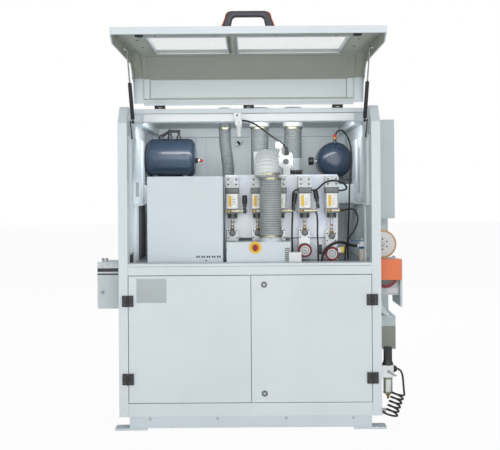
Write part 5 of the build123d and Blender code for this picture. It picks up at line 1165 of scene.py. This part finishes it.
# Outfeed table: the ruled front of its profile, with black strips of painted shade in its grooves, and the
# clamping knobs
OUTFEED_X = (-849, -711)
OUTFEED_BARS = ((147.6, (878, 889)), (146.6, (866, 877)), (147.6, (837, 845)))
KNOB = [(3.5, -1), (3.5, 5), (8, 7), (8.5, 12), (8, 19), (5, 21)]
KNOBS = ((-818, 153, 901, UP), (-797, 153, 901, UP), (-820, 150, 732, OUT))
piece("outfeed_bars", [block(OUTFEED_X, (depth, 150.4), z, 0.8) for depth, z in OUTFEED_BARS], "alu")
# Black strips in the grooves: painted shade
piece("outfeed_slot_shades", [block(OUTFEED_X, (149, 150.4), z, 0.4) for z in ((846, 865), (828, 836))], "black")
piece("outfeed_knobs", [spun(*spot, KNOB, 24) for spot in KNOBS], "grey")

# Infeed side: fittings of the measuring wheel and the feed wheel, trims of the bracket, and a band of painted
# shade on the cabinet
WHEEL_X = 752
MEASURING_HEIGHT = 985
MEASURING_FACE = 227
FEED_HEIGHT = 818
FEED_FACE = 137
BRACKET_FACE = 193.2
BOLT_CIRCLE = 29 * np.exp(1j * np.radians(np.arange(30, 390, 60)))
MEASURING_HUB = [(14, 0), (14, 5), (11, 8), (6, 8.6), (5, 6)]
FEED_DISC = [(55, 0), (55, 3.4), (52, 4.6), (24, 4.6), (22, 3)]
FEED_HUB = [(17, 0), (17, 9), (13, 12), (6, 12.6)]
GUSSET = [(709.8, 690), (709.8, 622), (784, 583)]
piece("measuring_rim", [
    band(WHEEL_X, 240.4, MEASURING_HEIGHT, OUT, 76.5, 79.2, 14.8, 96),
    band(WHEEL_X, MEASURING_FACE, MEASURING_HEIGHT, OUT, 69.5, 79.2, 2.2, 96),
], "rim", "measuring_wheel")
piece("measuring_bolts", [
    screw(WHEEL_X + spot.real, 226, MEASURING_HEIGHT + spot.imag, OUT, 4.6, 3.4)
    for spot in BOLT_CIRCLE.tolist()
], "steel_dark", "measuring_wheel")
hub = spun(WHEEL_X, MEASURING_FACE, MEASURING_HEIGHT, OUT, MEASURING_HUB, 32)
piece("measuring_hub", [hub], "steel", "measuring_wheel")
piece("feed_disc", [spun(WHEEL_X, FEED_FACE, FEED_HEIGHT, OUT, FEED_DISC, 72)], "cap_grey", "feed_wheel")
piece("feed_hub", [spun(WHEEL_X, FEED_FACE, FEED_HEIGHT, OUT, FEED_HUB)], "black", "feed_wheel")
piece("bracket_trim", [block((772, 837), (BRACKET_FACE, 195.4), (702, 742), 0.8)], "white")
bracket_heads = [screw(x, BRACKET_FACE, 708, OUT, 2.2, 1.0) for x in range(778, 835, 11)]
piece("bracket_screws", bracket_heads, "steel_dark")
piece("bracket_gusset", [front_plate(GUSSET, 100, 106)], "panel", bevel=THIN_EDGE)
# Darker olive band across the side cabinet's panel: painted shade
piece("side_cabinet_shade_band", [block((711, 849), (383.6, 385.4), (364, 496), 0.8)], "olive")

# Air regulator: fluted knob, latch, port nut, bowl guard and drain
REGULATOR = (748, 40)
FLUTES = 24
FLUTE_DEPTH = 1.6
REGULATOR_KNOB = [
    (28, -1, 0), (30, 2, 0), (30, 7, 0), (26.5, 15, 0), (23.6, 25, 0), (23.4, 30, 0),
    (23.4, 34, 1), (23.4, 90, 1), (22, 95, 1), (19, 97.4, 0), (8, 98, 0),
]
LATCH = [(744, 316), (741, 303), (786, 280), (792, 288)]
PORT_NUT = [(19, 0), (20, 2), (20, 12), (16, 14), (16, 20), (13, 22)]
DRAIN = [(20, 0), (18, 4), (12, 12), (7, 18), (7, 28), (4, 33)]
GUARD_TURNS = ((-48, 28), (62, 118), (152, 228))
piece("regulator_knob", [fluted(*REGULATOR, 340, REGULATOR_KNOB, FLUTES, FLUTE_DEPTH)], "black")
piece("regulator_latch", [
    front_plate(LATCH, 5, 10), spun(748, 14, 308, OUT, [(8, 0), (8, 6), (6, 10)], 24),
], "grey", bevel=THIN_EDGE)
piece("regulator_port", [spun(774, 40, 318, RIGHT, PORT_NUT, 6)], "black")
collars = [band(*REGULATOR, z, UP, 21, 25.4, height) for z, height in ((263, 13), (186, 9))]
piece("regulator_collars", collars, "guard")
piece("regulator_guard", [sector(*REGULATOR, 21.5, 24.6, turn, (190, 270)) for turn in GUARD_TURNS], "guard")
piece("regulator_drain", [spun(*REGULATOR, 188, DOWN, DRAIN, 32)], "brass")


def round_edge(low, high, steps, inset=18):
    """Screw places along a rectangle's four edges, as pairs, inset from its corners."""
    first = np.linspace(low[0] + inset, high[0] - inset, steps[0])
    second = np.linspace(low[1] + inset, high[1] - inset, steps[1])
    rows = [(a, b) for a in first.tolist() for b in (second[0], second[-1])]
    return rows + [(a, b) for a in (first[0], first[-1]) for b in second[1:-1].tolist()]


# Bolted cover plates on the sides that the photograph doesn't show: corners, and screws along the edges
PLATE_SCREW = (5.0, 1.2)
BACK_FACE = 1301
BACK_PLATES = [
    ((-620, 820), (-20, 1690)), ((20, 820), (620, 1690)), ((-620, 130), (-20, 780)), ((20, 130), (620, 780)),
]
SIDE_PLATES = (
    ("left_side", "plate", "cabinet", (-711, -709.4), LEFT, (520, 140), (1240, 1690), (3, 6)),
    ("side_cabinet", "cover", "panel", (849.4, 851), RIGHT, (670, 390), (1215, 1675), (3, 5)),
)
piece("back_plates", [
    block((low[0], high[0]), (1299.4, BACK_FACE), (low[1], high[1]), 0.5) for low, high in BACK_PLATES
], "cabinet")
piece("back_plate_screws", [
    screw(x, BACK_FACE, z, BACK, *PLATE_SCREW)
    for low, high in BACK_PLATES for x, z in round_edge(low, high, (3, 4))
], "steel_dark")
for name, kind, finish, x, axis, low, high, steps in SIDE_PLATES:
    face = max(x, key=abs)
    heads = [screw(face, *spot, axis, *PLATE_SCREW) for spot in round_edge(low, high, steps)]
    piece(f"{name}_{kind}", [block(x, (low[0], high[0]), (low[1], high[1]), 0.5)], finish)
    piece(f"{name}_screws", heads, "steel_dark")
